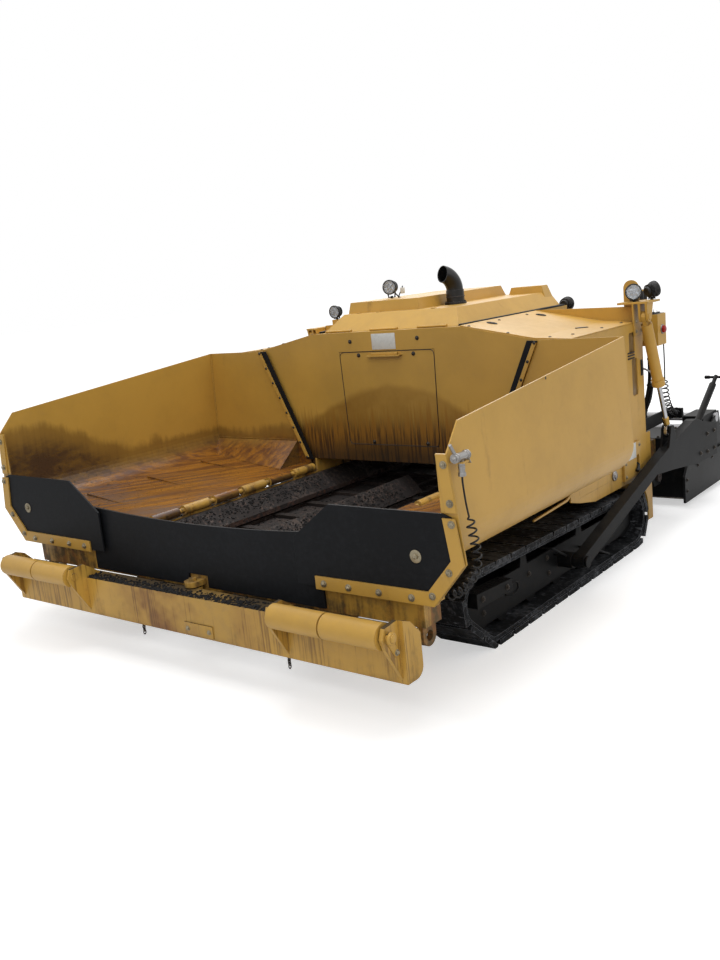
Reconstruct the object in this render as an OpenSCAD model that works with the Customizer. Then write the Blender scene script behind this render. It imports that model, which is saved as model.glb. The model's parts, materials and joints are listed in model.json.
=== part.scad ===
// Asphalt paver: a crawler tractor with a folding hopper, a drag-slat conveyor,
// an oscillating push beam, two augers and a towed screed with sliding extensions.
// Millimetres. The front looks towards -Y and the ground is at Z = 0.
// Places along Y are counted from the front plane of the hopper, and the whole
// machine is then shifted so that Y = 0 is the middle of its length.

/* [Hopper] */
// Inside length of a wing, front plane to rear wall
wing_len = 1735; // [1600:5:1850]
// Half width over the wings' top edges
wing_top_x = 1565; // [1500:5:1620]
// Height of the top edge at the rear
wing_top_z = 1392; // [1340:4:1440]
// Height of the top edge at the front
wing_front_z = 1250; // [1200:5:1300]
// Height where the front edge turns into the corner chamfer
wing_corner_z = 1136; // [1090:2:1180]
// Lean of the side panel from upright, in degrees
wing_lean = 3; // [2:0.5:8]
// Fall of the wing floor towards the conveyor, in degrees
wing_floor_fall = 5; // [3:0.5:7]
// Bend radius between wing floor and side panel
wing_bend_r = 150; // [120:10:200]
// Thickness of the wing plate
wing_plate = 8; // [6:1:12]
// Distance of the wing hinge from the centre line
hinge_x = 672; // [650:2:700]
// Height of the wing hinge
hinge_z = 600; // [590:2:620]
// Radius of the hinge knuckles
hinge_r = 28; // [24:1:32]
// Radius of the hinge pin
hinge_pin_r = 15; // [12:1:18]
// Thickness of the black apron panels
flap_t = 10; // [6:1:12]
// Width of the clamp strips around the apron panels
strip_w = 62; // [50:2:70]

/* [Body] */
// Half width of the engine housing
body_half_w = 1262; // [1240:1:1264]
// Height of the flat top of the housing
hood_top_z = 1488; // [1450:2:1520]
// Height of the housing at its side edge
hood_side_z = 1384; // [1350:2:1390]
// Half width of the flat top
hood_flat_x = 556; // [540:2:600]
// Rear end of the side compartments
side_rear_y = 2725; // [2700:5:2760]
// Rear end of the engine compartment
hood_rear_y = 3150; // [3120:5:3180]
// Underside of the side compartments
side_floor_z = 500; // [480:5:520]
// Thickness of the housing plates
body_plate = 8; // [6:1:12]
// Half width of the engine lid at its foot
lid_half_w = 520; // [480:5:530]
// Height of the lid's lower tier
lid_h = 104; // [80:2:120]
// Height of the lid's second tier
lid_tier_h = 70; // [50:2:90]
// Radius of the exhaust pipe
exhaust_r = 54; // [40:1:60]

/* [Conveyor] */
// Top face of the conveyor floor
floor_z = 400; // [390:1:405]
// Radius over the ends of the slat chains
chain_end_r = 75; // [70:1:80]
// Distance between slats
slat_pitch = 300; // [200:20:400]
// Height of the ridge over the middle chains
ridge_h = 105; // [90:5:130]

/* [Chassis] */
// Outer half width of the main side plates
frame_x = 680; // [676:1:690]
// Thickness of the main side plates
frame_t = 16; // [12:1:20]
// Top of the side plates behind the hopper
tunnel_z = 655; // [640:5:680]
// Half width of the front cross member
cross_half_w = 1380; // [1340:5:1390]

/* [Tracks] */
// Inner face of a track
track_in_x = 960; // [930:5:980]
// Outer face of a track
track_out_x = 1280; // [1270:1:1284]
// Number of shoes on a track
shoe_count = 31; // [24:1:36]
// Thickness of the shoe band without its pads
band_t = 26; // [20:1:30]
// Height of the pads
pad_h = 24; // [15:1:30]
// Height of the front idler's axle
idler_z = 280; // [260:2:300]
// Place of the front idler along the machine
idler_y = 630; // [600:5:680]
// Place of the rear sprocket along the machine
sprocket_y = 2480; // [2400:5:2500]
// Radius over the pads at the rear sprocket
sprocket_r = 185; // [175:1:200]
// Radius over the pads at the idler
idler_r = 155; // [145:1:165]

/* [Push beam] */
// Half width over the beam's end plates
beam_half_w = 1395; // [1360:5:1420]
// Underside of the beam
beam_low_z = 196; // [180:2:220]
// Top of the beam's ledge
beam_top_z = 400; // [390:1:400]
// Radius of the push rollers
roller_r = 57; // [50:1:60]
// Height of the rollers' axis
roller_z = 425; // [415:1:440]
// Place of the rollers' axis in front of the hopper
roller_y = -218; // [-230:1:-210]

/* [Tow arms and screed] */
// Thickness of the tow arms
arm_t = 64; // [50:2:70]
// Place of the tow pin along the machine
tow_y = 1590; // [1560:5:1620]
// Height of the tow pin
tow_z = 190; // [170:5:210]
// Radius of the tow pin
tow_pin_r = 25; // [20:1:30]
// Half width of the main screed
screed_half_w = 1215; // [1200:5:1220]
// Front face of the main screed
screed_front_y = 3500; // [3480:5:3520]
// Depth of the main screed, front to rear
screed_depth = 460; // [420:10:500]
// Height of the screed plate above the ground when parked
screed_lift = 50; // [40:2:70]
// Depth of an extension, front to rear
ext_depth = 315; // [280:5:340]
// Radius of the extension guide tubes
guide_r = 32; // [25:1:36]
// Depth of the rear walkway
walk_depth = 180; // [140:10:220]

/* [Augers] */
// Place of the augers along the machine
auger_y = 3262; // [3250:2:3270]
// Height of the augers
auger_z = 270; // [265:1:280]
// Radius of the auger flights
auger_r = 150; // [130:2:152]
// Pitch of the flights
auger_pitch = 300; // [250:10:400]

/* [Lift cylinders] */
// Place of the upper pin along the machine
lift_top_y = 2618; // [2610:2:2626]
// Height of the upper pin
lift_top_z = 1420; // [1410:5:1430]
// Place of the lower pin along the machine
lift_low_y = 2920; // [2900:5:2940]
// Height of the lower pin
lift_low_z = 665; // [655:5:675]
// Radius of the barrel
barrel_r = 34; // [30:1:38]
// Length of the barrel below its pin
barrel_len = 475; // [440:5:500]
// Radius of the rod
lift_rod_r = 15; // [12:1:18]

/* [Hidden] */
$fn = 48;

yellow = [0.80, 0.58, 0.20];
black = [0.10, 0.10, 0.11];
rubber = [0.16, 0.17, 0.18];
steel = [0.62, 0.62, 0.60];
dark_steel = [0.25, 0.24, 0.23];

// Clearances
run_gap = 0.1;      // running fit of pins and rods
seat_gap = 0.3;     // pieces that lie against each other
move_gap = 6;       // free space round moving plates

// Overall length and its middle
front_y = roller_y - roller_r;
ext_front_y = screed_front_y + screed_depth + 25;
rear_y = ext_front_y + ext_depth + walk_depth;
mid_y = (front_y + rear_y) / 2;

// Wing places
rear_wall_y = wing_len;
hood_front_y = wing_len + wing_plate + 9;
fold_z = 780;
gusset_x = 805;
slope_run = 235;
seal_foot = [hinge_x + 34, hinge_z + 52];
seal_head = [1040, wing_top_z];

// Beam and pivot places
beam_front_y = roller_y + roller_r + 16;
beam_rear_y = -30;
pivot_y = -20;
pivot_r = 20;
boss_r = 45;
cross_y0 = 30;
cross_y1 = 150;
cross_z0 = 375;
cross_z1 = 485;

// Chain loop
chain_z = floor_z - 50;
tail_y = 235;
head_y = 3000;
chain_t = 25;

// Inner face of the tow arms, clear of the tracks and of the side walls, and the lift cylinder's line
arm_in_x = max(track_out_x, body_half_w + 18) + 16;
lift_x = arm_in_x + arm_t / 2;

// Screed heights
plate_t = 12;
box_z0 = screed_lift + plate_t;
box_z1 = 480;
ext_z1 = 400;

function arc(c, r, a0, a1, n) =
    [for (i = [0:n]) [c[0] + r * cos(a0 + (a1 - a0) * i / n), c[1] + r * sin(a0 + (a1 - a0) * i / n)]];

module at_origin() translate([0, -mid_y, 0]) children();

module on_side(s) mirror([s < 0 ? 1 : 0, 0, 0]) children();

module both_sides() {
    children();
    mirror([1, 0, 0]) children();
}

module box(x0, x1, y0, y1, z0, z1)
    translate([x0, y0, z0]) cube([x1 - x0, y1 - y0, z1 - z0]);

// An outline drawn in (y, z), extruded from x0 to x1
module along_x(x0, x1)
    translate([x0, 0, 0]) rotate([90, 0, 90]) linear_extrude(x1 - x0) children();

// An outline drawn in (x, z), extruded from y0 to y1
module along_y(y0, y1)
    translate([0, y1, 0]) rotate([90, 0, 0]) linear_extrude(y1 - y0) children();

module rod_x(x0, x1, y, z, r)
    translate([x0, y, z]) rotate([0, 90, 0]) cylinder(r = r, h = x1 - x0);

module rod_y(y0, y1, x, z, r)
    translate([x, y1, z]) rotate([90, 0, 0]) cylinder(r = r, h = y1 - y0);

module rod_z(z0, z1, x, y, r)
    translate([x, y, z0]) cylinder(r = r, h = z1 - z0);

// A tube swept along round points, with one ring per point
function unit(v) = v / norm(v);
function tangent(p, i) =
    unit(p[min(i + 1, len(p) - 1)] - p[max(i - 1, 0)]);
function side_of(t) = unit(cross(t, abs(t[0]) < 0.9 ? [1, 0, 0] : [0, 1, 0]));
function ring(p, t, r, n) =
    let (u = side_of(t), v = cross(t, u))
    [for (k = [0:n - 1]) p + r * (u * cos(360 * k / n) + v * sin(360 * k / n))];
function split_quad(a, b, c, d) = [[a, b, c], [a, c, d]];
module tube(p, r, n = 8) {
    rings = len(p);
    points = [for (i = [0:rings - 1]) each ring(p[i], tangent(p, i), r, n)];
    sides = [for (i = [0:rings - 2], k = [0:n - 1]) each
        split_quad(i * n + k, i * n + (k + 1) % n, (i + 1) * n + (k + 1) % n, (i + 1) * n + k)];
    ends = [[for (k = [n - 1:-1:0]) k], [for (k = [0:n - 1]) (rings - 1) * n + k]];
    polyhedron(points = points, faces = concat(sides, ends), convexity = 6);
}

// Chassis: side plates with the fixed hinge knuckles and track carriers, belly plate and front cross member

module chassis_side() {
    plate_top = hinge_z - hinge_r - move_gap;
    plate_y0 = cross_y1 + seat_gap;
    foot_z = cross_z1 + seat_gap;
    along_x(frame_x - frame_t, frame_x)
        polygon([[plate_y0, 180], [3060, 180], [3060, 430], [hood_rear_y, 430], [hood_rear_y, tunnel_z],
                 [hood_front_y, tunnel_z], [hood_front_y, plate_top], [60, plate_top],
                 [60, foot_z], [plate_y0, foot_z]]);
    for (y = fixed_knuckles) difference() {
        union() {
            box(hinge_x - 8, hinge_x + 8, y, y + knuckle_len, plate_top - 2, hinge_z);
            rod_y(y, y + knuckle_len, hinge_x, hinge_z, hinge_r);
        }
        rod_y(y - 1, y + knuckle_len + 1, hinge_x, hinge_z, hinge_pin_r);
    }
    rod_y(hinge_y0, hinge_y1, hinge_x, hinge_z, hinge_pin_r);
    for (y = carrier_y) box(frame_x, rail_in_x, y - 70, y + 70, 120, 230);
    box(frame_x - 1, 1150, 3060, hood_rear_y, 430, 560);
}

knuckle_len = 200;
hinge_y0 = 60;
hinge_y1 = wing_len - 25;
knuckle_pitch = (hinge_y1 - hinge_y0 - knuckle_len) / 6;
fixed_knuckles = [for (i = [0:2:6]) hinge_y0 + i * knuckle_pitch];
moving_knuckles = [for (i = [1:2:5]) hinge_y0 + i * knuckle_pitch];
carrier_y = [1080, 2120];

module chassis() color(yellow) at_origin() {
    belly_half_w = frame_x - frame_t - seat_gap;
    both_sides() chassis_side();
    box(-belly_half_w, belly_half_w, 300, 3000, 180, 195);
    box(-cross_half_w, cross_half_w, cross_y0, cross_y1, cross_z0, cross_z1);
    both_sides() lash_lug();
    box(-95, 95, cross_y0, cross_y0 + 40, 285, cross_z0 + 1);
    for (z = pivot_lugs) hull_lug(z[0], z[1]);
    rod_z(pivot_lugs[0][0] - 12, pivot_lugs[1][1] + 14, 0, pivot_y, pivot_r);
}

// Tie-down lug under each end of the cross member, with its bore along X
lash_in = 40;
lash_drop = 55;
lash_t = 30;
lash_r = 24;
lash_wall = 24;
lash_x = cross_half_w - lash_in;
lash_y = (cross_y0 + cross_y1) / 2;
lash_z = cross_z0 - lash_drop;
module lash_lug() along_x(lash_x - lash_t / 2, lash_x + lash_t / 2) difference() {
    union() {
        translate([lash_y, lash_z]) circle(r = lash_r + lash_wall);
        translate([lash_y - lash_r - lash_wall, lash_z]) square([2 * (lash_r + lash_wall), lash_drop + 1]);
    }
    translate([lash_y, lash_z]) circle(r = lash_r);
}
pivot_lugs = [[298, 329], [beam_top_z + move_gap, beam_top_z + 32]];

module hull_lug(z0, z1) {
    rod_z(z0, z1, 0, pivot_y, boss_r);
    box(-boss_r, boss_r, pivot_y, cross_y0 + 1, z0, z1);
}

// Conveyor: floor plate, chain guards and two endless slat chains

guard_foot_z = floor_z + 38;
module conveyor_bed() color(dark_steel) at_origin() {
    inner = frame_x - frame_t - seat_gap;
    box(-inner, inner, tail_y + 56, head_y - 56, floor_z - 14, floor_z);
    both_sides() along_y(cross_y1 + seat_gap, head_y - 30)
        polygon([[inner, guard_foot_z], [535, guard_foot_z], [535, guard_foot_z + 30],
                 [inner - 24, hinge_z - 42], [inner, hinge_z - 42],
                 [inner, hinge_z - 54], [inner - 18, hinge_z - 54],
                 [547, guard_foot_z + 24], [547, guard_foot_z + 10], [inner, guard_foot_z + 10]]);
    both_sides() box(inner - 12, inner, tail_y, head_y - 30, floor_z - 1, guard_foot_z + 1);
    along_y(tail_y + 56, 1880) polygon([[-105, guard_foot_z], [0, floor_z + 38 + ridge_h], [105, guard_foot_z],
                                   [92, guard_foot_z], [6, floor_z + 24 + ridge_h], [6, floor_z - 1],
                                   [-6, floor_z - 1], [-6, floor_z + 24 + ridge_h], [-92, guard_foot_z]]);
}

// Closed outline round two equal ends, as an arc at each end
function loop_outline(y0, y1, z, r) = concat(arc([y0, z], r, 270, 90, 12), arc([y1, z], r, 90, -90, 12));

slat_count = floor((head_y - tail_y - 60) / slat_pitch);
module conveyor_half() {
    for (x = [60, 560]) along_x(x, x + 30) difference() {
        polygon(loop_outline(tail_y, head_y, chain_z, chain_end_r));
        polygon(loop_outline(tail_y, head_y, chain_z, chain_end_r - chain_t + seat_gap));
    }
    for (i = [0:slat_count], z = [chain_z + 53, chain_z - 72])
        box(75, 575, tail_y + 30 + i * slat_pitch, tail_y + 80 + i * slat_pitch, z, z + 19);
}

module conveyor_chains() color(dark_steel) at_origin() {
    both_sides() conveyor_half();
    for (y = [tail_y, head_y]) both_sides() {
        for (x = [60, 560]) rod_x(x, x + 30, y, chain_z, chain_end_r - chain_t);
        rod_x(0, frame_x - frame_t - seat_gap, y, chain_z, 22);
    }
}

// Body shell: front wall with the cover opening, side compartments, engine compartment

function roof(dx, dz) = [
    [body_half_w - dx, hood_side_z - dz], [1036, 1396 - dz], [hood_flat_x, hood_top_z - dz],
    [-hood_flat_x, hood_top_z - dz], [-1036, 1396 - dz], [-body_half_w + dx, hood_side_z - dz]];

cover = [[-366, 1362], [366, 1362], [352, 765], [-352, 765]];
lid_front_y = hood_front_y + 48;
lid_rear_y = hood_rear_y - 22;

module body_shell() color(yellow) at_origin() difference() {
    union() {
        difference() {
            along_y(hood_front_y, side_rear_y)
                polygon(concat([[-body_half_w, side_floor_z], [body_half_w, side_floor_z]], roof(0, 0)));
            along_y(hood_front_y + body_plate, side_rear_y - body_plate)
                polygon(concat([[-body_half_w + body_plate, side_floor_z + body_plate],
                                [body_half_w - body_plate, side_floor_z + body_plate]],
                               roof(body_plate, body_plate)));
            box(-frame_x - 1, frame_x + 1, hood_front_y - 1, side_rear_y + 1, side_floor_z - 1, tunnel_z);
        }
        box(-frame_x - 1 - body_plate, frame_x + 1 + body_plate, hood_front_y, hood_rear_y,
            tunnel_z, tunnel_z + body_plate);
        for (s = [-1, 1]) box(s > 0 ? frame_x + 1 : -frame_x - 1 - body_plate,
                              s > 0 ? frame_x + 1 + body_plate : -frame_x - 1,
                              hood_front_y, side_rear_y, side_floor_z, tunnel_z + 1);
        difference() {
            box(-hood_flat_x, hood_flat_x, side_rear_y - body_plate, hood_rear_y, tunnel_z, hood_top_z);
            box(-hood_flat_x + body_plate, hood_flat_x - body_plate, side_rear_y - body_plate - 1,
                hood_rear_y - body_plate, tunnel_z + body_plate, hood_top_z - body_plate);
        }
        along_y(hood_front_y + body_plate - 1, hood_front_y + 2 * body_plate)
            difference() {
                polygon([[-400, 1395], [400, 1395], [386, 730], [-386, 730]]);
                polygon([[-330, 1328], [330, 1328], [318, 800], [-318, 800]]);
            }
    }
    along_y(hood_front_y - 1, hood_front_y + body_plate)
        polygon([[-369, 1365], [369, 1365], [355, 762], [-355, 762]]);
    box(-lid_half_w + 40, lid_half_w - 40, lid_front_y + 30, lid_rear_y - 40, 1300, hood_top_z + 1);
    both_sides() side_pockets();
}

// Rounded recesses in the side wall behind the wing: name, y, z, width, height
pockets = [[2560, 1270, 84, 130], [2590, 1060, 84, 230]];
module side_pockets()
    for (p = pockets) along_x(body_half_w - 5, body_half_w + 1)
        translate([p[0], p[1]]) rounded(p[2], p[3], 20);

module rounded(w, h, r) {
    square([w - 2 * r, h], center = true);
    square([w, h - 2 * r], center = true);
    for (a = [-1, 1], b = [-1, 1]) translate([a * (w / 2 - r), b * (h / 2 - r)]) circle(r = r);
}

// Bolted covers: front service cover with its pull lip, and the sloping deck covers
deck_rear_y = side_rear_y - 40;
module bolted_covers() color(yellow) at_origin() {
    along_y(hood_front_y, hood_front_y + body_plate) polygon(cover);
    along_y(hood_front_y - 32, hood_front_y + 1)
        polygon([[-133, 1338], [133, 1338], [120, 1330], [-120, 1330]]);
    both_sides() along_y(hood_front_y + 8, deck_rear_y)
        polygon([[hood_flat_x + 2, hood_top_z + seat_gap - 0.4], [1036, 1396 + seat_gap],
                 [body_half_w - 4, hood_side_z + seat_gap + 0.2],
                 [body_half_w - 4, hood_side_z + 7], [1036, 1403], [hood_flat_x + 2, hood_top_z + 6]]);
    both_sides() along_y(deck_rear_y + seat_gap, deck_rear_y + 8)
        polygon([[hood_flat_x + 2, hood_top_z + seat_gap], [1036, 1396 + seat_gap],
                 [body_half_w - 4, hood_side_z + seat_gap + 0.2], [body_half_w - 4, hood_top_z - 8],
                 [hood_flat_x + 2, hood_top_z + 8]]);
    both_sides() along_x(body_half_w + seat_gap, body_half_w + 16) difference() {
        polygon([[2340, 455], [2590, 455], [2590, 666], [2362, 671], [2340, 650]]);
        translate([2545, 530]) rounded(44, 110, 20);
    }
}

module engine_block() color(dark_steel) at_origin()
    box(-240, 240, 2100, side_rear_y - 40, tunnel_z + body_plate, 1250);

// Tracks: closed path round idler, front roller and sprocket

// Circles that the path runs round, in the order front idler, front low roller, sprocket: y, z, r
wheel_path = [[idler_y, idler_z, idler_r], [idler_y + 130, 100, 100], [sprocket_y, sprocket_r, sprocket_r]];

// Direction of the outer tangent from circle a to circle b, walking with the circles on the left
function tangent_angle(a, b) =
    let (d = [b[0] - a[0], b[1] - a[1]])
    atan2(d[1], d[0]) + asin((a[2] - b[2]) / norm(d));
path_angles = [for (i = [0:2]) tangent_angle(wheel_path[i], wheel_path[(i + 1) % 3])];

// Points of the path at a depth under the pads: each circle's arc from its incoming to its outgoing tangent
function path_arc(i, depth, steps) =
    let (c = wheel_path[i],
         a0 = path_angles[(i + 2) % 3] - 90,
         turn = (path_angles[i] - path_angles[(i + 2) % 3] + 720) % 360)
    arc([c[0], c[1]], (c[2] - depth) / cos(turn / steps / 2), a0, a0 + turn, steps);
function track_outline(depth) = [for (i = [0:2]) each path_arc(i, depth, i == 1 ? 4 : 9)];

// Place and direction after a distance s along the path under the pads
function arc_turn(i) = (path_angles[i] - path_angles[(i + 2) % 3] + 720) % 360;
function arc_len(i) = arc_turn(i) * PI / 180 * (wheel_path[i][2] - pad_h);
function line_len(i) =
    let (a = wheel_path[i], b = wheel_path[(i + 1) % 3])
    sqrt(pow(b[0] - a[0], 2) + pow(b[1] - a[1], 2) - pow(a[2] - b[2], 2));
lengths = [for (i = [0:2]) each [arc_len(i), line_len(i)]];
function before(k) = k == 0 ? 0 : lengths[k - 1] + before(k - 1);
loop_len = before(6);
function shoe_at(s) =
    let (k = max([for (j = [0:5]) s >= before(j) ? j : 0]), i = floor(k / 2), c = wheel_path[i],
         r = c[2] - pad_h, rest = s - before(k), a0 = path_angles[(i + 2) % 3])
    k % 2 == 0
        ? let (a = a0 + rest / r * 180 / PI) [c[0] + r * cos(a - 90), c[1] + r * sin(a - 90), a]
        : let (a = path_angles[i])
          [c[0] + r * cos(a - 90) + rest * cos(a), c[1] + r * sin(a - 90) + rest * sin(a), a];

shoe_pitch = loop_len / shoe_count;
module track_band() {
    along_x(track_in_x + 12, track_out_x - 12) difference() {
        polygon(track_outline(pad_h));
        polygon(track_outline(pad_h + band_t));
    }
    along_x(track_in_x, track_out_x) difference() {
        for (i = [0:shoe_count - 1]) {
            s = shoe_at((i + 0.5) * shoe_pitch);
            translate([s[0], s[1]]) rotate(s[2])
                polygon([[-shoe_pitch * 0.46, 4], [shoe_pitch * 0.46, 4], [shoe_pitch * 0.43, -pad_h],
                         [-shoe_pitch * 0.43, -pad_h]]);
        }
        translate([0, -pad_h]) square([sprocket_y + 2 * sprocket_r, pad_h]);
    }
}

module track_left() color(black) at_origin() track_band();
module track_right() color(black) at_origin() mirror([1, 0, 0]) track_band();

// Wheels inside a track: y, z, radius over the pads at that place
rail_in_x = 1035;
rail_out_x = 1205;
rail_t = 15;
low_rollers = [for (i = [0:4]) idler_y + 330 + i * 300];
wheel_x0 = rail_in_x + rail_t + seat_gap;
wheel_x1 = rail_out_x - rail_t - seat_gap;
tread_depth = pad_h + band_t + 0.5;
function top_run_z(y) =
    let (a = wheel_path[2], t = path_angles[2])
    a[1] - (a[2] - tread_depth) / cos(t) + (y - a[0]) * tan(t);

module sprocket(r) {
    rod_x(wheel_x0, wheel_x1, sprocket_y, sprocket_r, r - 16);
    along_x(rail_in_x + 50, rail_out_x - 50) for (i = [0:12])
        translate([sprocket_y, sprocket_r]) rotate(i * 360 / 13)
            polygon([[r - 20, -14], [r - 0.5, -6], [r - 0.5, 6], [r - 20, 14]]);
}

module track_wheel_set() {
    for (w = [wheel_path[0], wheel_path[1]]) rod_x(wheel_x0, wheel_x1, w[0], w[1], w[2] - tread_depth);
    for (y = low_rollers) rod_x(wheel_x0, wheel_x1, y, tread_depth + 52, 52);
    for (y = carrier_rollers) rod_x(wheel_x0, wheel_x1, y, top_run_z(y) - 34, 33);
    sprocket(sprocket_r - tread_depth);
}
carrier_rollers = [1180, 1830];
module track_wheels() color(black) at_origin() both_sides() track_wheel_set();

// Track frame: two rails that hold the wheels' axles, guard box, ears and the tow pin
module track_frame() {
    for (x = [rail_in_x, rail_out_x - rail_t]) along_x(x, x + rail_t) {
        polygon([[idler_y - 55, idler_z - 30], [idler_y + 80, 92], [sprocket_y - 120, 92],
                 [sprocket_y + 50, sprocket_r - 50], [sprocket_y + 50, sprocket_r + 45],
                 [sprocket_y - 120, 262], [idler_y + 90, 285], [idler_y + 40, idler_z + 55],
                 [idler_y - 55, idler_z + 30]]);
        for (y = carrier_rollers) polygon([[y - 45, 255], [y + 45, 255], [y + 22, top_run_z(y) - 16],
                                           [y - 22, top_run_z(y) - 16]]);
    }
    box(rail_in_x, rail_out_x, idler_y + 560, idler_y + 680, 215, 240);
    box(rail_in_x, rail_out_x, idler_y + 1160, idler_y + 1280, 215, 240);
    along_x(rail_out_x, rail_out_x + 78)
        polygon([[idler_y - 40, 250], [idler_y + 290, 238], [idler_y + 290, 300], [idler_y - 40, 322]]);
    rod_x(rail_out_x - 1, arm_in_x - move_gap, tow_y, tow_z, tow_pin_r + 20);
    rod_x(rail_out_x, arm_in_x + arm_t + 8, tow_y, tow_z, tow_pin_r);
    rod_x(arm_in_x + arm_t + move_gap, arm_in_x + arm_t + 16, tow_y, tow_z, tow_pin_r + 8);
}
module track_frames() color(black) at_origin() both_sides() track_frame();

// Fenders: side skirt under the side compartment and a curved guard behind the sprocket
fender_r = sprocket_r + 55;
skirt_rear_y = side_rear_y + 65;
module fender() {
    c = [sprocket_y, sprocket_r];
    along_x(body_half_w - 10, body_half_w) polygon(concat(
        [[1645, side_floor_z], [1645, side_floor_z + 48], [hood_front_y - seat_gap, side_floor_z + 48],
         [hood_front_y - seat_gap, side_floor_z - seat_gap],
         [side_rear_y + seat_gap, side_floor_z - seat_gap],
         [side_rear_y + seat_gap, tunnel_z + 30], [skirt_rear_y, tunnel_z + 30], [skirt_rear_y, 116]],
        arc(c, fender_r, -16, 88, 10), [[1950, 432], [1760, 470]]));
    along_x(body_half_w - 10, body_half_w)
        polygon([[1646, side_floor_z + 48], [1600, side_floor_z + 32], [1221, side_floor_z + 16],
                 [1221, side_floor_z + 6], [1604, side_floor_z + 18], [1646, side_floor_z + 34]]);
    along_x(track_in_x, body_half_w - 9) polygon(concat(
        arc(c, fender_r + 8, 0, 90, 9), arc(c, fender_r, 90, 0, 9)));
    along_x(track_in_x, body_half_w - 9)
        polygon([[sprocket_y - 1, c[1] + fender_r], [sprocket_y - 1, c[1] + fender_r + 8],
                 [2100, side_floor_z - 6], [2100, side_floor_z - seat_gap], [2072, side_floor_z - seat_gap],
                 [2072, side_floor_z - 12]]);
}
module fenders() color(yellow) at_origin() both_sides() fender();

// Lamp towers: post plate with a round top, shelf, wall plate and the ears that carry the lift cylinder
shelf_z = 1500;
shelf_t = 12;
post_y = deck_rear_y + 8 + seat_gap;
post_x0 = body_half_w - 97;
post_r = (body_half_w - post_x0) / 2;
post_top_z = 1592;
ear_t = 14;
ear_gap = 15;
ear_r = 32;
shelf_rear_y = 2775;
module lamp_tower() {
    along_y(post_y, post_y + 10) {
        polygon([[post_x0, 1389.5], [body_half_w, hood_side_z + seat_gap], [body_half_w, post_top_z],
                 [post_x0, post_top_z]]);
        translate([post_x0 + post_r, post_top_z]) circle(r = post_r);
    }
    box(post_x0, body_half_w + 1, lift_top_y - 28, shelf_rear_y, shelf_z, shelf_z + shelf_t);
    ear_bracket(shelf_z);
}

// Ears for the cylinder's upper pin under a plate at the given height, on a plate on the side wall
module ear_bracket(top_z) {
    box(body_half_w + seat_gap, lift_x + ear_gap + ear_t + 5, lift_top_y - 40, side_rear_y + 50, top_z, top_z + shelf_t);
    along_x(body_half_w + seat_gap, body_half_w + 10)
        polygon([[lift_top_y - 30, 1310], [side_rear_y - 10, 1310], [side_rear_y + 40, top_z + 1],
                 [lift_top_y - 40, top_z + 1]]);
    for (x = [lift_x - ear_gap - ear_t, lift_x + ear_gap]) along_x(x, x + ear_t) difference() {
        union() {
            polygon([[lift_top_y - ear_r, lift_top_z], [lift_top_y + ear_r, lift_top_z],
                     [lift_top_y + 60, top_z + 1], [lift_top_y - 40, top_z + 1]]);
            translate([lift_top_y, lift_top_z]) circle(r = ear_r);
        }
        translate([lift_top_y, lift_top_z]) circle(r = 20);
    }
    rod_x(lift_x - ear_gap - ear_t - 4, lift_x + ear_gap + ear_t + 4, lift_top_y, lift_top_z, 20);
}

// Small lamp post on the rear rail, on the side without a tower
small_post_z = 1520;
module small_post() {
    box(post_x0 - 25, post_x0 + 25, post_y, post_y + 10, 1400, small_post_z);
    box(post_x0 - 25, post_x0 + 25, post_y, post_y + 48, small_post_z - 10, small_post_z);
}
module lamp_towers() color(yellow) at_origin() {
    lamp_tower();
    mirror([1, 0, 0]) {
        ear_bracket(lift_top_z + ear_r + 6);
        small_post();
    }
}

// A round work lamp that looks towards -Y: shade, rear cup and foot
lamp_r = 50;
lamp_depth = 60;
module work_lamp(r, depth, lift) {
    rotate([90, 0, 0]) translate([0, 0, -depth / 2]) cylinder(r = r, h = depth);
    rotate([90, 0, 0]) translate([0, 0, -depth / 2 - 14]) cylinder(r = r * 0.72, h = depth / 2);
    translate([-12, -8, -lift]) cube([24, 16, lift]);
}
lamp_lift = 58;
rear_lamp_x = hood_flat_x - 36;
rear_lamp_z = hood_top_z + 6;
rear_lamp_out = 60;
module rear_lamp() {
    translate([rear_lamp_x, hood_rear_y + rear_lamp_out, rear_lamp_z]) rotate([0, 0, 180])
        work_lamp(lamp_r, lamp_depth, lamp_lift);
    box(rear_lamp_x - 12, rear_lamp_x + 12, hood_rear_y + seat_gap, hood_rear_y + rear_lamp_out + 8,
        rear_lamp_z - lamp_lift - 8, rear_lamp_z - lamp_lift + 1);
    box(rear_lamp_x - 30, rear_lamp_x + 30, hood_rear_y + seat_gap, hood_rear_y + 8,
        rear_lamp_z - lamp_lift - 50, rear_lamp_z - lamp_lift + 1);
}
module tower_lamps() color(black) at_origin() {
    translate([body_half_w - 7, 2638, shelf_z + shelf_t + seat_gap + lamp_lift])
        work_lamp(lamp_r, lamp_depth, lamp_lift);
    translate([lift_x - 8, shelf_rear_y - 22, shelf_z + shelf_t + seat_gap + lamp_lift]) rotate([0, 0, 150])
        work_lamp(lamp_r, lamp_depth, lamp_lift);
    translate([-post_x0, post_y + 30, small_post_z + seat_gap + lamp_lift])
        work_lamp(lamp_r, lamp_depth, lamp_lift);
    both_sides() rear_lamp();
}

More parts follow.
